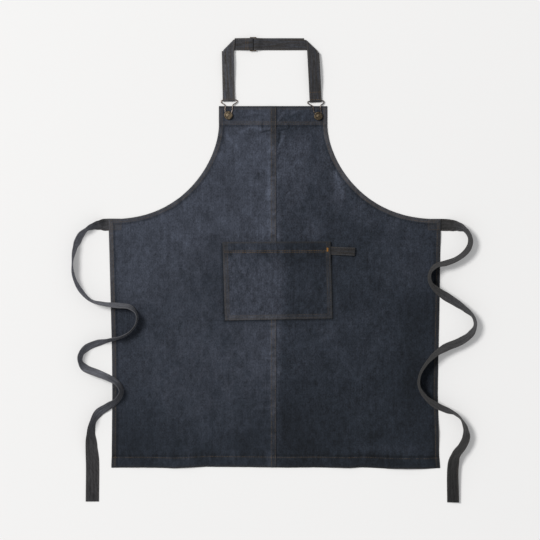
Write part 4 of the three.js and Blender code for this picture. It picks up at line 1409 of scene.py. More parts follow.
tab_way = np.array([math.cos(TAB_SLOPE), math.sin(TAB_SLOPE), 0])
tab_left = np.array([-tab_way[1], tab_way[0], 0])
low = PLY + GAP + TAB_THICKNESS / 2
root = low + TAB_THICKNESS + GAP
profile = [(0, low), (20, low), (45, low)]
profile += half_round(TAB_LENGTH - TAB_EYE, low + TAB_EYE, TAB_EYE, -90, 90)
profile += [(47, low + 2 * TAB_EYE + 0.3), (30, low + 2 * TAB_EYE - 0.6)]
profile += [(15, root + 0.9), (6, root + 0.1), (0, root)]
tab_stations = run_stations(np.array([*TAB_START, 0.0]), tab_way, tab_left, profile, TAB_WIDTH)
tab_stations = np.array(tab_stations)
under = middle_of(tab_stations)
tab_stations[:, 0:2, 2] += swell(under[:, 0], under[:, 1])[:, None]
tab = strip_object("side_tab", tab_stations, TAB_THICKNESS, denim_strap, TAB_TONE)
face_outwards(tab)
print(tab.name, "eye of", 2 * TAB_EYE, "mm")

# %% [markdown]
# ## Neck band
#
# One strip makes the whole band. It starts behind the right bar, wraps it, turns the right corner in
# a flat mitred fold, runs over the slider's bar, turns the left corner, wraps the left bar, comes
# back behind itself and is sewn round the slider's middle bar. At a mitre the strip rolls over a
# slanting crease and slides along it a little.

# %% Mitred folds
WIRE = 2.3
WIRE_GAP = 0.35
BAR_Z = 3.3
BUCKLE_REACH = 37.2
BUCKLE_TURN = {"left": math.radians(0.9), "right": math.radians(2.9)}
BUCKLE_LEAN = {"left": 2.9, "right": -4.6}
STRAP_CORNER = {"left": np.array([-114.8, 553, 0]), "right": np.array([93.5, 553, 0])}
LEFT_LEG_FOOT_X = -112.2
FOLD_INSET = 2.7
SLIDER_PLACE = (-52.5, 553.0, 5.2)
SLIDER_THICKNESS = 1.8
BAND_TONE = {"x": [-118, -98, -92, 85, 96, 106], "tone": [1.1, 1.1, 0.74, 0.74, 0.64, 0.64]}


def unit(vector):
    return vector / np.linalg.norm(vector)


def fold_slide(from_z, to_z):
    return math.pi * abs(to_z - from_z) / 4


def mitre(corner, way_in, way_out, left, from_z, to_z, steps=14):
    """A flat slanting fold that lays the strip over or under itself and turns it."""
    crease = unit(way_in + way_out)
    outward = unit(way_in - way_out)
    edge = crease * (STRAP_WIDTH / 2 / crease.dot(left) + FOLD_INSET)
    face = np.cross(way_in, left)
    radius = abs(to_z - from_z) / 2
    rise_sign = np.sign(to_z - from_z)
    slide = fold_slide(from_z, to_z)
    stations = []
    for angle in np.linspace(0, math.pi, steps):
        spot = corner + outward * (radius * math.sin(angle) - slide - FOLD_INSET)
        spot = spot + crease * slide * (2 * angle / math.pi - 1)
        spot[2] = (from_z + to_z) / 2 - rise_sign * radius * math.cos(angle)
        turned = face * math.cos(angle) - outward * rise_sign * face[2] * math.sin(angle)
        stations.append(np.array([spot + edge, spot - edge, turned]))
    return stations


def folded(way_in, way_out, left):
    crease = unit(way_in + way_out)
    return 2 * crease.dot(left) * crease - left


def bar_centre(side):
    turn = BUCKLE_TURN[side]
    x = BUCKLE_LEAN[side] * math.cos(turn) - BUCKLE_REACH * math.sin(turn)
    y = BUCKLE_LEAN[side] * math.sin(turn) + BUCKLE_REACH * math.cos(turn)
    return np.array([BUTTONS[side][0] + x, BUTTONS[side][1] + y, 0])


print("a fold of three layers slides by", round(fold_slide(0, 3 * STRAP_THICKNESS), 2), "mm")

# %% [markdown]
# ### The way of the band
#
# Each leg is a profile: how far along the leg, and how high. Heights are counted from the lowest
# layer, one pitch for each layer above it. The legs arch a little, because a stiff strap does not lie
# flat between two folds.

# %% Legs of the band
LAYER_GAP = 0.4
FOLD_CLEAR = 0.3

wrap = WIRE / 2 + WIRE_GAP + STRAP_THICKNESS / 2
low = BAR_Z - wrap
pitch = STRAP_THICKNESS + LAYER_GAP
single = STRAP_WIDTH / 2 + math.sqrt(2) * fold_slide(0, pitch) + FOLD_CLEAR
outer = STRAP_WIDTH / 2 + math.sqrt(2) * fold_slide(0, 3 * pitch) + FOLD_CLEAR
right_bar = bar_centre("right")
right_corner = STRAP_CORNER["right"]
left_corner = STRAP_CORNER["left"]

up = unit(right_corner - right_bar)
rising = np.linalg.norm(right_corner - right_bar)
left_of_up = np.array([up[1], -up[0], 0])
right_leg = [(26, 4.9), (18, 3.9), (9, 1.9), *half_round(0, BAR_Z, wrap, -90, -270)]
right_leg += [(8, BAR_Z + wrap - 0.2), (20, 6.2), (34, 8.4), (48, 10.4), (64, 11.2), (82, 11), (98, 10)]
right_leg += [(rising - outer - 8, 8.8), (rising - outer - 3, 7.6), (rising - outer, low + 3 * pitch)]

west = np.array([-1.0, 0, 0])
left_of_west = folded(up, west, left_of_up)
bridge = right_corner[0] - SLIDER_PLACE[0]
over_bar = SLIDER_PLACE[2] + SLIDER_THICKNESS / 2 + GAP + STRAP_THICKNESS / 2
running = [(outer, low), (40, low + 0.2), (80, low + 0.6), (112, low + 0.4)]
running += [(125, low + 1.6), (133, over_bar - 1)]
running += [(bridge - 7.6, over_bar), (bridge - 4.6, over_bar - 0.5), (bridge - 1.9, over_bar - 3.2)]
running += [(bridge - 0.3, low + 0.8), (bridge + 2.5, low), (bridge + 12, low)]
running += [(right_corner[0] - left_corner[0] - outer, low)]

left_foot = np.array([LEFT_LEG_FOOT_X, bar_centre("left")[1], 0])
south = unit(left_foot - left_corner)
north = -south
left_of_south = folded(west, south, left_of_west)
drop = np.linalg.norm(left_foot - left_corner)
left_leg = [(outer, low + 3 * pitch), (26, 7.4), (45, 8), (70, 6.6)]
left_leg += [(99, 4.4), (124, BAR_Z + wrap - 0.8), *half_round(drop, BAR_Z, wrap, 90, -90)]
left_leg += [(124, low), (70, low), (45, low + 0.6), (25, low + 1.85 * pitch), (single, low + 2 * pitch)]

east = -west
left_of_east = folded(north, east, left_of_south)
loop_bar = SLIDER_PLACE[0] - left_corner[0] - 2.4
loop_wrap = SLIDER_THICKNESS / 2 + GAP + STRAP_THICKNESS / 2
sewn = [(single, low + pitch), (24, low + pitch), (33, low + 1.6 * pitch), (39, low + 2.15 * pitch)]
sewn += [(46, low + 2.6 * pitch), (52, SLIDER_PLACE[2] + loop_wrap)]
sewn += half_round(loop_bar, SLIDER_PLACE[2], loop_wrap, 90, -90)
sewn += [(50, SLIDER_PLACE[2] - loop_wrap), (36, SLIDER_PLACE[2] - loop_wrap)]
print(f"right leg {rising:.0f} mm, left leg {drop:.0f} mm")

# %% [markdown]
# ### One strip from the legs
#
# The legs and the three folds follow one another, and stations are added wherever two are far apart.
# The band is paler on its left leg than on its right one.

# %% Neck band
band_parts = [
    run_stations(right_bar, up, left_of_up, right_leg, STRAP_WIDTH),
    mitre(right_corner, up, west, left_of_up, low + 3 * pitch, low),
    run_stations(right_corner, west, left_of_west, running, STRAP_WIDTH),
    mitre(left_corner, west, south, left_of_west, low, low + 3 * pitch),
    run_stations(left_corner, south, left_of_south, left_leg, STRAP_WIDTH),
    mitre(left_corner, north, east, left_of_south, low + 2 * pitch, low + pitch),
    run_stations(left_corner, east, left_of_east, sewn, STRAP_WIDTH),
]
band_stations = fill_in(np.array([station for part in band_parts for station in part]), STRIP_STEP)
band_middle = middle_of(band_stations)
band_tone = np.interp(band_middle[:, 0], BAND_TONE["x"], BAND_TONE["tone"])
neck_band = strip_object("neck_band", band_stations, STRAP_THICKNESS, denim_strap, band_tone)
face_outwards(neck_band)

# %% [markdown]
# ## Waist ties
#
# Each tie is sewn under a skirt corner and then wanders down beside the apron, twisting up on its
# edge and crossing the skirt in soft loops. The table holds a row for each turn: where the middle of
# the strip is, how far it tilts (plus lifts its left edge, minus its right one), and the height of
# what it lies on.

# %% Turns of the ties
ON_BODY = 3.2
TIE_COLUMNS = ("x", "y", "tilt", "bed")
TIES = {
    "left": [
        (-376, 111, 0, 0.05), (-412, 111, 0, 0.05), (-430, 109.5, -42, 0), (-446.5, 105.5, -62, 0),
        (-460, 99, -76, 0), (-474, 85, -62, 0), (-482, 69, -60, 0), (-488.5, 52, -74, 0),
        (-494.5, 16, -90, 0), (-491, -16, -82, 0), (-475.5, -48, -74, 0), (-450, -74, -80, 0.8),
        (-420, -82.5, -73, ON_BODY), (-385, -86.5, -66, ON_BODY), (-353, -91, -70, ON_BODY),
        (-337, -108, -84, ON_BODY), (-338.5, -131, -86, ON_BODY), (-353, -151, -84, ON_BODY),
        (-375, -164, -80, ON_BODY), (-405, -172, -72, ON_BODY), (-434, -179, -58, 0.5),
        (-459, -190, -56, 0), (-474, -207, -68, 0), (-475, -224, -72, 0), (-463.5, -239.5, -56, 0),
        (-434, -252, -56, 0.5), (-405, -264, -62, ON_BODY), (-384, -277, -68, ON_BODY),
        (-374.5, -296, -72, ON_BODY), (-384, -317, -66, ON_BODY), (-406, -333, -52, ON_BODY),
        (-430, -349, -46, 0.8), (-444, -371, -62, 0), (-449, -396, -52, 0), (-448.5, -430, -20, 0),
        (-446, -470, -4, 0), (-446.5, -567, -2, 0),
    ],
    "right": [
        (376, 110.5, 0, 0.05), (412, 110.5, 0, 0.05), (434, 109, 22, 0), (452, 105, 48, 0),
        (467, 97, 72, 0), (477, 82, 74, 0), (478.5, 66, 70, 0), (470, 47, 66, 0), (447, 28, 68, 0.8),
        (419, 17, 64, ON_BODY), (394, 10, 70, ON_BODY), (379.5, -8, 80, ON_BODY),
        (381, -31, 76, ON_BODY), (397, -49, 60, ON_BODY), (419, -65, 48, ON_BODY), (443, -80, 54, 0.5),
        (467, -97, 66, 0), (486, -115, 80, 0), (490.5, -135, 80, 0), (479, -157, 62, 0),
        (453, -175, 54, 0.5), (419, -189, 54, ON_BODY), (394, -205, 68, ON_BODY),
        (370, -230, 80, ON_BODY), (355, -257, 84, ON_BODY), (353, -283, 82, ON_BODY),
        (367, -308, 72, ON_BODY), (392, -329, 58, ON_BODY), (419, -342, 60, ON_BODY),
        (442, -352, 76, 0.8), (457, -366, 84, 0), (466.5, -386, 72, 0), (468.5, -409, 56, 0),
        (459, -431, 54, 0), (444, -451, 50, 0), (437, -478, 26, 0), (437, -569, 14, 0),
    ],
}

print("turns:", {side: len(rows) for side, rows in TIES.items()})

# %% [markdown]
# ### Laying the ties
#
# Between two turns the tilt and the height change smoothly. A tilted strip stands on its lower edge,
# so its middle is half its upright height above the bed. A tone table for places up the apron holds
# painted light and shade: the stretches that face the lamp are painted paler, and those turned away
# or in shadow darker.

# %% Ties
TIE_CUTS = 10
TIE_FLARE = {"left": 0.1, "right": 0.0}
TIE_FLARE_Y = (420, 470)
# Painted light and shade along each tie, for places up the apron
TIE_PAINTED_LIGHT = {
    "left": {
        "y": [-480, -420, -380, -350, -300, -250, -190, -140, -85, -60, 60, 100, 111],
        "tone": [0.72, 0.8, 1.3, 2.3, 1.4, 2.4, 2.7, 1.3, 2.2, 3.0, 3.0, 2.5, 0.95],
    },
    "right": {
        "y": [-480, -430, -385, -345, -300, -240, -180, -135, -80, -30, 10, 80, 105, 111],
        "tone": [0.33, 0.45, 0.58, 0.9, 0.42, 0.58, 0.68, 0.88, 0.98, 0.42, 0.7, 0.65, 0.95, 0.45],
    },
}


def tie_stations(side):
    table = np.array(TIES[side], float)
    column = {name: table[:, i] for i, name in enumerate(TIE_COLUMNS)}
    path = np.stack([column["x"], column["y"], np.zeros(len(table))], axis=1)
    spots, ways = catmull_rom(path, TIE_CUTS)
    stations = []
    for k, (spot, way) in enumerate(zip(spots, ways)):
        row = min(k // TIE_CUTS, len(table) - 2)
        part = smooth(k / TIE_CUTS - row, 0, 1)
        tilt = math.radians(column["tilt"][row] * (1 - part) + column["tilt"][row + 1] * part)
        bed = column["bed"][row] * (1 - part) + column["bed"][row + 1] * part
        level = unit(np.array([-way[1], way[0], 0]))
        edge = level * math.cos(tilt) + np.array([0, 0, math.sin(tilt)])
        face = -level * math.sin(tilt) + np.array([0, 0, math.cos(tilt)])
        width = STRAP_WIDTH * (1 + TIE_FLARE[side] * smooth(-spot[1], *TIE_FLARE_Y))
        stand = width * abs(math.sin(tilt)) + STRAP_THICKNESS * abs(math.cos(tilt))
        centre = np.array([spot[0], spot[1], bed + stand / 2])
        stations.append(np.array([centre + edge * width / 2, centre - edge * width / 2, face]))
    return fill_in(np.array(stations), STRIP_STEP)


tie_paths = {side: tie_stations(side) for side in SIGN}
ties = {}
for side in SIGN:
    tie_middle = middle_of(tie_paths[side])
    tie_painted_light = np.interp(tie_middle[:, 1], TIE_PAINTED_LIGHT[side]["y"], TIE_PAINTED_LIGHT[side]["tone"])
    ties[side] = strip_object(f"{side}_tie", tie_paths[side], STRAP_THICKNESS, denim_tie, tie_painted_light)
    face_outwards(ties[side])

# %% [markdown]
# ## Brass and bronze
#
# The buttons are brass that has gone brown, bright only where a hand rubs it. The hooks are a paler
# wire, which the strap keeps smooth, and the slider is dark bronze. All three are full metals whose
# colour and roughness wander with noise, over a faint grain. A tone number on each mesh makes the
# right hook and button darker than the left ones.

# %% Aged metal
def aged_metal(name, dull, bright, rough_low, rough_high):
    material, tree, shader = new_material(name, roughness=0.5, metallic=1.0)
    coords = add_node(tree, "TexCoord").outputs["Object"]
    patina = stretched_noise(tree, coords, (260, 260, 260), 4.0)
    grain = stretched_noise(tree, coords, (1900, 1900, 900), 2.0)
    share = add_node(tree, "MapRange", Value=patina, From_Min=0.38, From_Max=0.68).outputs[0]
    toned = scaled(tree, mix_colours(tree, share, dull, bright), attribute(tree, "tone"))
    tree.links.new(toned, shader.inputs["Base Color"])
    rough = add_node(tree, "MapRange", Value=grain, To_Min=rough_low, To_Max=rough_high).outputs[0]
    tree.links.new(rough, shader.inputs["Roughness"])
    tree.links.new(bump(tree, grain, 0.25, 0.0001), shader.inputs["Normal"])
    return material


def set_tone(piece, value):
    layer = piece.data.attributes.new("tone", "FLOAT", "POINT")
    layer.data.foreach_set("value", np.full(len(piece.data.vertices), value, np.float32))


METAL_TONE = {"left": 1.0, "right": 0.55}
old_brass = aged_metal("antique_brass", (0.078, 0.062, 0.045, 1), (0.24, 0.190, 0.125, 1), 0.34, 0.62)
pale_wire = aged_metal("hook_wire", (0.100, 0.085, 0.075, 1), (0.34, 0.29, 0.26, 1), 0.25, 0.45)
dark_bronze = aged_metal("dark_bronze", (0.040, 0.028, 0.018, 1), (0.12, 0.080, 0.045, 1), 0.36, 0.6)
print("antique brass, hook wire and dark bronze")

# %% [markdown]
# ## Wire hooks
#
# Each hook is one length of round wire, bent to a wide bar for the strap and a narrow throat that
# drops over the button. A curve with a round bevel is the natural way to bend wire. It is turned into
# a mesh so that it has its own faces, and its two ends butt together inside the strap's loop. The
# bends are placed for the solid's wire, and the wire drawn here is half a millimetre thicker.

# %% Wire hooks
BUCKLE_WIDTH = 42.0
BUTTON_Z = 4.9
POST_RADIUS = 2.4
HOOK_WIRE = 2.8
HOOK_DROP_Y = (25, 34)
HOOK_CUTS = 8


def hook_path(side):
    half_bar = (BUCKLE_WIDTH - WIRE) / 2
    seat = POST_RADIUS + WIRE_GAP + WIRE / 2
    reach = BUCKLE_REACH
    half = [(0.3, reach), (8, reach), (half_bar - 3.2, reach), (half_bar - 0.8, reach - 1)]
    half += [(half_bar, reach - 3.4), (half_bar - 2, reach - 6.4), (12, 27), (9.4, 24), (8.8, 20)]
    half += [(8.8, 12), (7.6, 6), (5.2, 2.4)]
    half += [(seat * math.cos(angle), seat * math.sin(angle)) for angle in np.radians((-20, -55, -90))]
    whole = half + [(-x, y) for x, y in half[-2::-1]]
    points = []
    for x, y in whole:
        z = BUTTON_Z + (BAR_Z - BUTTON_Z) * float(smooth(y, *HOOK_DROP_Y))
        x = x + BUCKLE_LEAN[side] * max(y, 0) / BUCKLE_REACH
        turn = BUCKLE_TURN[side]
        place = (x * math.cos(turn) - y * math.sin(turn), x * math.sin(turn) + y * math.cos(turn))
        points.append((BUTTONS[side][0] + place[0], BUTTONS[side][1] + place[1], z))
    return catmull_rom(points, HOOK_CUTS)[0]


def make_hook(side):
    path = hook_path(side) * MM
    bpy.ops.curve.primitive_nurbs_path_add()
    hook = bpy.context.object
    hook.name = f"{side}_hook"
    hook.location = (0, 0, 0)
    wire = hook.data
    wire.splines.clear()
    spline = wire.splines.new("POLY")
    spline.points.add(len(path) - 1)
    spline.points.foreach_set("co", np.column_stack([path, np.ones(len(path))]).ravel())
    wire.dimensions = "3D"
    wire.bevel_depth = HOOK_WIRE / 2 * MM
    wire.bevel_resolution = 4
    wire.use_fill_caps = True
    bpy.ops.object.convert(target="MESH")
    hook = bpy.context.object
    bpy.ops.object.shade_smooth_by_angle(angle=math.radians(50))
    hook.data.materials.clear()
    hook.data.materials.append(pale_wire)
    set_tone(hook, METAL_TONE[side])
    hook.select_set(False)
    return hook


hooks = {side: make_hook(side) for side in SIGN}
for hook in hooks.values():
    print(hook.name, len(hook.data.polygons), "faces")

# %% [markdown]
# ## Tack buttons
#
# A tack button is a flat back plate, a post through the cloth and a pressed cap. Starting from a
# disc, each step up is an extrusion that is then widened or narrowed, which is how such a turned form
# grows by hand. A ring of small spheres stands for pressed beads, as on many plain work buttons.

# %% Tack buttons
BUTTON_RADIUS = 10.4
TACK_RADIUS = 5.5
CAP_UNDER = BUTTON_Z + WIRE / 2 + GAP
CAP_STEPS = [
    (TACK_RADIUS, 0.8), (POST_RADIUS, 0.8), (POST_RADIUS, CAP_UNDER), (BUTTON_RADIUS - 1, CAP_UNDER),
    (BUTTON_RADIUS - 0.25, CAP_UNDER + 0.4), (BUTTON_RADIUS, CAP_UNDER + 1.1),
    (BUTTON_RADIUS, CAP_UNDER + 2.1), (BUTTON_RADIUS - 0.3, CAP_UNDER + 2.75),
    (BUTTON_RADIUS - 0.9, CAP_UNDER + 3.1), (BUTTON_RADIUS - 1.8, CAP_UNDER + 3.15),
    (BUTTON_RADIUS - 2.5, CAP_UNDER + 2.5), (5.4, CAP_UNDER + 2.45), (4.9, CAP_UNDER + 2.9),
    (4.2, CAP_UNDER + 2.95), (3.8, CAP_UNDER + 2.6), (2.6, CAP_UNDER + 2.75), (1.2, CAP_UNDER + 3.05),
    (0.4, CAP_UNDER + 3.12),
]
DISC_POINTS = 48
BEADS = 26
BEAD_RING = 6.6
BEAD_RADIUS = 0.62
BEAD_Z = CAP_UNDER + 2.5


def make_beads(x, y):
    beads = []
    for i in range(BEADS):
        turn = 2 * math.pi * i / BEADS
        spot = np.array([x + BEAD_RING * math.cos(turn), y + BEAD_RING * math.sin(turn), BEAD_Z]) * MM
        ball = {"segments": 8, "ring_count": 6, "radius": BEAD_RADIUS * MM}
        bpy.ops.mesh.primitive_uv_sphere_add(location=spot, **ball)
        beads.append(bpy.context.object)
        bpy.ops.object.transform_apply(location=True)
        beads[-1].select_set(False)
    return beads


def make_button(side):
    x, y = BUTTONS[side]
    centre = (x * MM, y * MM, 0)
    disc = {"vertices": DISC_POINTS, "radius": TACK_RADIUS * MM, "fill_type": "NGON"}
    bpy.ops.mesh.primitive_circle_add(location=centre, **disc)
    button = bpy.context.object
    button.name = f"{side}_button"
    bpy.ops.object.transform_apply(location=True)
    bpy.ops.object.mode_set(mode="EDIT")
    bpy.ops.mesh.select_all(action="SELECT")
    radius, height = TACK_RADIUS, 0.0
    for next_radius, next_height in CAP_STEPS:
        step = {"value": (0, 0, (next_height - height) * MM)}
        bpy.ops.mesh.extrude_region_move(TRANSFORM_OT_translate=step)
        grow = next_radius / radius
        bpy.ops.transform.resize(value=(grow, grow, 1), center_override=centre)
        radius, height = next_radius, next_height
    bpy.ops.mesh.select_all(action="SELECT")
    bpy.ops.mesh.normals_make_consistent(inside=False)
    bpy.ops.object.mode_set(mode="OBJECT")
    button.select_set(False)

    for bead in make_beads(x, y):
        bead.select_set(True)
    button.select_set(True)
    bpy.context.view_layer.objects.active = button
    bpy.ops.object.join()
    button = bpy.context.object
    bpy.ops.object.shade_smooth_by_angle(angle=math.radians(40))
    button.data.materials.clear()
    button.data.materials.append(old_brass)
    set_tone(button, METAL_TONE[side])
    button.select_set(False)
    return button


buttons = {side: make_button(side) for side in SIGN}
for button in buttons.values():
    print(button.name, len(button.data.polygons), "faces")

# %% [markdown]
# ## Strap slider
#
# The slider is a flat plate with two windows. A grid of fifteen cells is enough: its lines are moved
# to the windows' edges, the two window cells are deleted, and the plate gets its thickness and a
# rounded edge from modifiers.

# %% Strap slider
SLIDER_X = (-8, -6, -4, -2, 5.6, 8)
SLIDER_Y = (-17.2, -15.2, 15.2, 17.2)
SLIDER_WINDOWS = (1, 3)
SLIDER_ROUNDING = 0.45

bpy.ops.mesh.primitive_grid_add(x_subdivisions=5, y_subdivisions=3, size=1)
slider = bpy.context.object
slider.name = "band_slider"
columns = len(SLIDER_X)
for i, vertex in enumerate(slider.data.vertices):
    spot = (SLIDER_X[i % columns], SLIDER_Y[i // columns], -SLIDER_THICKNESS / 2)
    vertex.co = (Vector(spot) + Vector(SLIDER_PLACE)) * MM
bpy.ops.object.mode_set(mode="EDIT")
bpy.ops.mesh.select_all(action="DESELECT")
bpy.ops.object.mode_set(mode="OBJECT")
for window in SLIDER_WINDOWS:
    slider.data.polygons[columns - 1 + window].select = True
bpy.ops.object.mode_set(mode="EDIT")
bpy.ops.mesh.delete(type="FACE")
bpy.ops.object.mode_set(mode="OBJECT")
wall = slider.modifiers.new("thickness", "SOLIDIFY")
wall.thickness = SLIDER_THICKNESS * MM
wall.offset = 1.0
bpy.ops.object.modifier_apply(modifier=wall.name)
soften = slider.modifiers.new("rounded_edge", "BEVEL")
soften.width = SLIDER_ROUNDING * MM
soften.segments = 3
soften.limit_method = "ANGLE"
bpy.ops.object.modifier_apply(modifier=soften.name)
bpy.ops.object.shade_smooth_by_angle(angle=math.radians(40))
slider.data.materials.append(dark_bronze)
set_tone(slider, 1.0)
slider.select_set(False)
slider_top = max(vertex.co.z for vertex in slider.data.vertices) / MM
print(slider.name, len(slider.data.polygons), "faces, top at", round(slider_top, 2))

# %% [markdown]
# ## Stitching
#
# Thousands of stitches hold the apron together. One stitch is a small sphere drawn out to a grain of
# thread. It is modelled once, and its points are copied along every sewn row, so a row of stitches is
# one light mesh. Rows on the panels and the pocket take their height from the same relief as the
# cloth.

# %% One stitch and the sewing helper
STITCH_PITCH = 4.2
STITCH_LENGTH = 3.1
STITCH_WIDTH = 0.85
STITCH_HEIGHT = 0.42
STITCH_LIFT = 0.12
LOOK_AHEAD = 0.6
ROW_STEP = 2.0
UP = (0, 0, 1)

bpy.ops.mesh.primitive_uv_sphere_add(segments=6, ring_count=5, radius=0.5)
grain = bpy.context.object
grain_points = np.array([vertex.co[:] for vertex in grain.data.vertices])
grain_faces = [list(polygon.vertices) for polygon in grain.data.polygons]
bpy.ops.object.delete()


def stitch_row(path, normals, pitch=STITCH_PITCH, size=(STITCH_LENGTH, STITCH_WIDTH, STITCH_HEIGHT)):
    """Points of every stitch along a path that lies on the cloth."""
    path = np.asarray(path, float)
    run = distances(path)
    count = max(int(run[-1] / pitch), 1)
    stops = (np.arange(count) + 0.5) * run[-1] / count

    def at(values, where):
        return np.stack([np.interp(where, run, column) for column in np.asarray(values, float).T], axis=1)

    centre = at(path, stops)
    way = at(path, np.minimum(stops + LOOK_AHEAD, run[-1])) - at(path, np.maximum(stops - LOOK_AHEAD, 0))
    way = unit_rows(way)
    up_way = at(np.broadcast_to(normals, path.shape), stops)
    side_way = unit_rows(np.cross(up_way, way))
    up_way = np.cross(way, side_way)
    shape = (grain_points[:, [2, 0, 1]] * np.array(size))[None]
    stitches = centre[:, None] + shape[:, :, :1] * way[:, None]
    return stitches + shape[:, :, 1:2] * side_way[:, None] + shape[:, :, 2:] * up_way[:, None]


def sew(name, rows, material):
    stitches = np.concatenate(rows)
    count = len(grain_points)
    offsets = np.arange(len(stitches))[:, None] * count
    faces = []
    for face in grain_faces:
        faces += (np.array(face)[None] + offsets).tolist()
    piece = make_object(name, stitches.reshape(-1, 3), faces, material)
    print(piece.name, len(stitches), "stitches,", len(faces), "faces")
    return piece


print(len(grain_faces), "faces to a stitch, one stitch every", STITCH_PITCH, "mm")

# %% [markdown]
# ### Rows on the body
#
# One row runs inside each turned side edge, one above the hem, three across the bib's top band and
# two down the lapped seam. A sewn box holds each tie to its skirt corner. All of them are in
# copper-brown thread.

# %% Rows on the panels
ROW_END_GAP = 2
BESIDE_LAP = 1.5
CORNER_SLACK = 0.35
HEM_CLEAR = 3
HEM_ROW_POINTS = 200


def on_panel(side, path):
    """A flat path lifted on to a panel."""
    path = resample(path, ROW_STEP)
    _, top, _, _ = panel_relief(side, *path.T)
    return stitch_row(np.column_stack([path, top + STITCH_LIFT]), UP)


def beside_edge(side, stretch, distance):
    """A path at a distance inside one stretch of the panel's side, clear of the other edges."""
    path = resample(stretch, ROW_STEP)
    way = unit_rows(np.gradient(path, axis=0))
    moved = path + distance * np.stack([-way[:, 1], way[:, 0]], axis=1) * SIGN[side]
    gaps, _, _ = nearest(moved, SIDE_PATH[side])
    above_hem = moved[:, 1] - hem_y(moved[:, 0])
    return moved[(gaps > distance - CORNER_SLACK) & (above_hem > HEM_CLEAR)]


def body_rows(side):
    sign = SIGN[side]
    skirt, armhole, bib = side_stretches(side)
    rows = [beside_edge(side, skirt, SIDE_BAND - STITCH_INSET)]
    rows.append(beside_edge(side, np.concatenate([armhole, bib]), ARMHOLE_BAND - STITCH_INSET))
    inner = SEAM_EDGE[side] if side == "left" else SEAM_EDGE["left"] + BESIDE_LAP
    hem_x = np.linspace(inner, sign * (half_width(side, HEM_Y) - ROW_END_GAP), HEM_ROW_POINTS)
    rows.append(np.stack([hem_x, hem_y(hem_x) + HEM_DEPTH - STITCH_INSET], axis=1))
    for depth in TOP_ROWS:
        y = BIB_TOP_Y - depth
        rows.append(np.array([[inner, y], [sign * (BIB_HALF[side] - ROW_END_GAP), y]]))
    near, far, low, high = TIE_BOX.values()
    corners = np.array([(near, low), (far, low), (far, high), (near, high), (near, low)]) * (sign, 1)
    rows += [np.array(pair) for pair in zip(corners, corners[1:])]
    if side == "left":
        ends = [(hem_y(x) + ROW_END_GAP, BIB_TOP_Y - ROW_END_GAP) for x in SEAM_ROWS]
        rows += [np.array([[x, low], [x, high]]) for x, (low, high) in zip(SEAM_ROWS, ends)]
    return [on_panel(side, row) for row in rows]


body_stitches = {side: sew(f"{side}_panel_stitches", body_rows(side), copper_thread) for side in SIGN}

# %% [markdown]
# ### Rows on the pocket
#
# The pocket has two gold rows along its hem and two brown ones along each sewn side. They are drawn
# in shares across and down the patch, so they follow its slanting sides.

# %% Rows on the pocket
HEM_ROW_INSET = 0.012
SIDE_ROW_INSET = 0.01
ACROSS = 80
DOWN = 60


def on_pocket(path, step=ROW_STEP, above=STITCH_LIFT):
    """A flat path lifted on to the pocket."""
    path = resample(path, step)
    _, top, _, _ = pocket_relief(*path.T)
    return np.column_stack([path, top + above])


hem_shares = np.array(POCKET_HEM_ROWS) / POCKET_TALL
hem_run = np.linspace(HEM_ROW_INSET, 1 - HEM_ROW_INSET, ACROSS)
hem_rows = [pocket_place(hem_run, np.full(ACROSS, share)) for share in hem_shares]
hem_rows = [stitch_row(on_pocket(row), UP) for row in hem_rows]
pocket_hem_stitches = sew("pocket_hem_stitches", hem_rows, gold_thread)
side_rows = []
for inset in POCKET_SIDE_ROWS:
    first = inset / POCKET_WIDE
    last = 1 - inset / POCKET_TALL
    down_run = np.linspace(SIDE_ROW_INSET, last, DOWN)
    side_rows.append(pocket_place(np.full(DOWN, first), down_run))
    side_rows.append(pocket_place(np.linspace(first, 1 - first, ACROSS), np.full(ACROSS, last)))
    side_rows.append(pocket_place(np.full(DOWN, 1 - first), down_run[::-1]))
side_rows = [stitch_row(on_pocket(row), UP) for row in side_rows]
pocket_side_stitches = sew("pocket_side_stitches", side_rows, brown_thread)

# %% [markdown]
# ### Rows on the tab
#
# A strip carries a row in the groove along each edge, and the tab shows it on its outer face alone. Its
# end is held by a bar tack: a dense zigzag in bright amber thread, a little higher than a row.

# %% Rows on the tab
BAR_TACK_PLACE = (129.6, 50.0)
BAR_TACK_SIZE = (4.2, 8.8)
BAR_TACK_TURNS = 21
BAR_TACK_LIFT = 0.25
BAR_TACK_PITCH = 9.0
BAR_TACK_STITCH = (5.2, 0.95, 0.8)


def strip_rows(stations, thickness, first=0.0, last=1.0, faces=(1, -1)):
    """A row along each edge, on the faces named by 1 (front) and -1 (back)."""
    count = len(stations) - 1
    part = stations[int(first * count):int(last * count) + 1]
    middle_line = middle_of(part)
    half = (part[:, 1] - part[:, 0]) / 2
    rows = []
    for look in faces:
        for across in (-GROOVE_AT, GROOVE_AT):
            height = look * GROOVE_LEVEL / 2 * thickness
            rows.append(stitch_row(middle_line + across * half + height * part[:, 2], look * part[:, 2]))
    return rows


tab_rows = strip_rows(tab_stations, TAB_THICKNESS, first=0.02, last=0.98, faces=(-1,))
tab_stitches = sew("tab_stitches", tab_rows, brown_thread)
zigzag = np.linspace(-0.5, 0.5, BAR_TACK_TURNS)
tack_x = BAR_TACK_PLACE[0] + BAR_TACK_SIZE[0] * (np.arange(BAR_TACK_TURNS) % 2 - 0.5)
tack_path = np.column_stack([tack_x, BAR_TACK_PLACE[1] + BAR_TACK_SIZE[1] * zigzag])
tack_rows = []
for pair in zip(tack_path, tack_path[1:]):
    line = on_pocket(np.array(pair), 1.0, BAR_TACK_LIFT)
    tack_rows.append(stitch_row(line, UP, BAR_TACK_PITCH, BAR_TACK_STITCH))
bar_tack = sew("tab_bar_tack", tack_rows, amber_thread)

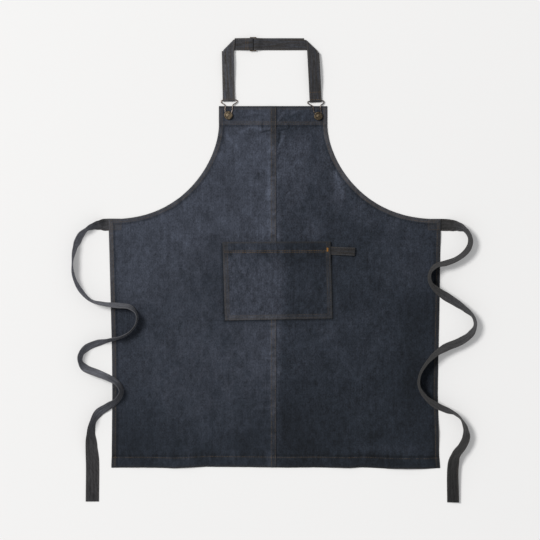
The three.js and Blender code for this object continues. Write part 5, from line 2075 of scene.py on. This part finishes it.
# %% [markdown]
# ### Rows on the band and the ties
#
# These show their rows on both faces. Where the band is sewn to itself, short gold rows go straight
# across its uppermost layer.

# %% Rows on the band and the ties
BAND_END_ROWS = [(99.5, 433.2), (100.2, 419.5), (-112.4, 420.5), (-73.0, 553.0), (-68.0, 553.0)]
END_ROW_SHARE = 0.94
END_ROW_REACH = 3


def cross_row(stations, thickness, spot):
    """A row straight across the uppermost layer of a strip at a spot."""
    middle_line = middle_of(stations)
    gaps = np.hypot(middle_line[:, 0] - spot[0], middle_line[:, 1] - spot[1])
    near = np.flatnonzero(gaps < END_ROW_REACH)
    left_edge, right_edge, face = stations[near[middle_line[near, 2].argmax()]]
    up_way = face * np.sign(face[2])
    ends = np.array([left_edge, right_edge]) * END_ROW_SHARE
    ends = ends + (left_edge + right_edge) * (1 - END_ROW_SHARE) / 2
    return stitch_row(resample(ends + up_way * thickness / 2, ROW_STEP), up_way)


band_rows = strip_rows(band_stations, STRAP_THICKNESS, first=0.004, last=0.996)
band_stitches = sew("neck_band_stitches", band_rows, strap_thread)
end_rows = [cross_row(band_stations, STRAP_THICKNESS, spot) for spot in BAND_END_ROWS]
band_end_stitches = sew("neck_band_end_stitches", end_rows, gold_thread)
tie_stitches = {}
for side in SIGN:
    rows = strip_rows(tie_paths[side], STRAP_THICKNESS, last=0.997)
    tie_stitches[side] = sew(f"{side}_tie_stitches", rows, strap_thread)

# %% [markdown]
# ## Hand over the pieces
#
# Nothing on the apron moves by a hinge, so every piece rides on the one body. A piece that stands
# for a solid of the frame hides that solid.

# %% Rides on the one body
handed = []


def hand_over(piece, slot, *nodes):
    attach(piece, "root")
    if nodes:
        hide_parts(*nodes)
    handed.append(piece.name)


hand_over(left_panel, "denim_left", "panel_left")
hand_over(right_panel, "denim_right", "panel_right")
hand_over(pocket, "denim_pocket", "pocket")
hand_over(tab, "denim_strap", "towel_loop")
hand_over(neck_band, "denim_strap", "neck_strap")
hand_over(slider, "dark_bronze", "strap_slider")
hand_over(pocket_hem_stitches, "denim_pocket")
hand_over(pocket_side_stitches, "denim_pocket")
hand_over(tab_stitches, "denim_strap")
hand_over(bar_tack, "denim_pocket")
hand_over(band_stitches, "denim_strap")
hand_over(band_end_stitches, "denim_strap")
for side in SIGN:
    hand_over(ties[side], "denim_strap", f"tie_{side}")
    hand_over(hooks[side], "antique_brass", f"buckle_{side}")
    hand_over(buttons[side], "antique_brass", f"button_{side}")
    hand_over(body_stitches[side], f"denim_{side}")
    hand_over(tie_stitches[side], "denim_strap")

print(len(handed), "pieces handed over")
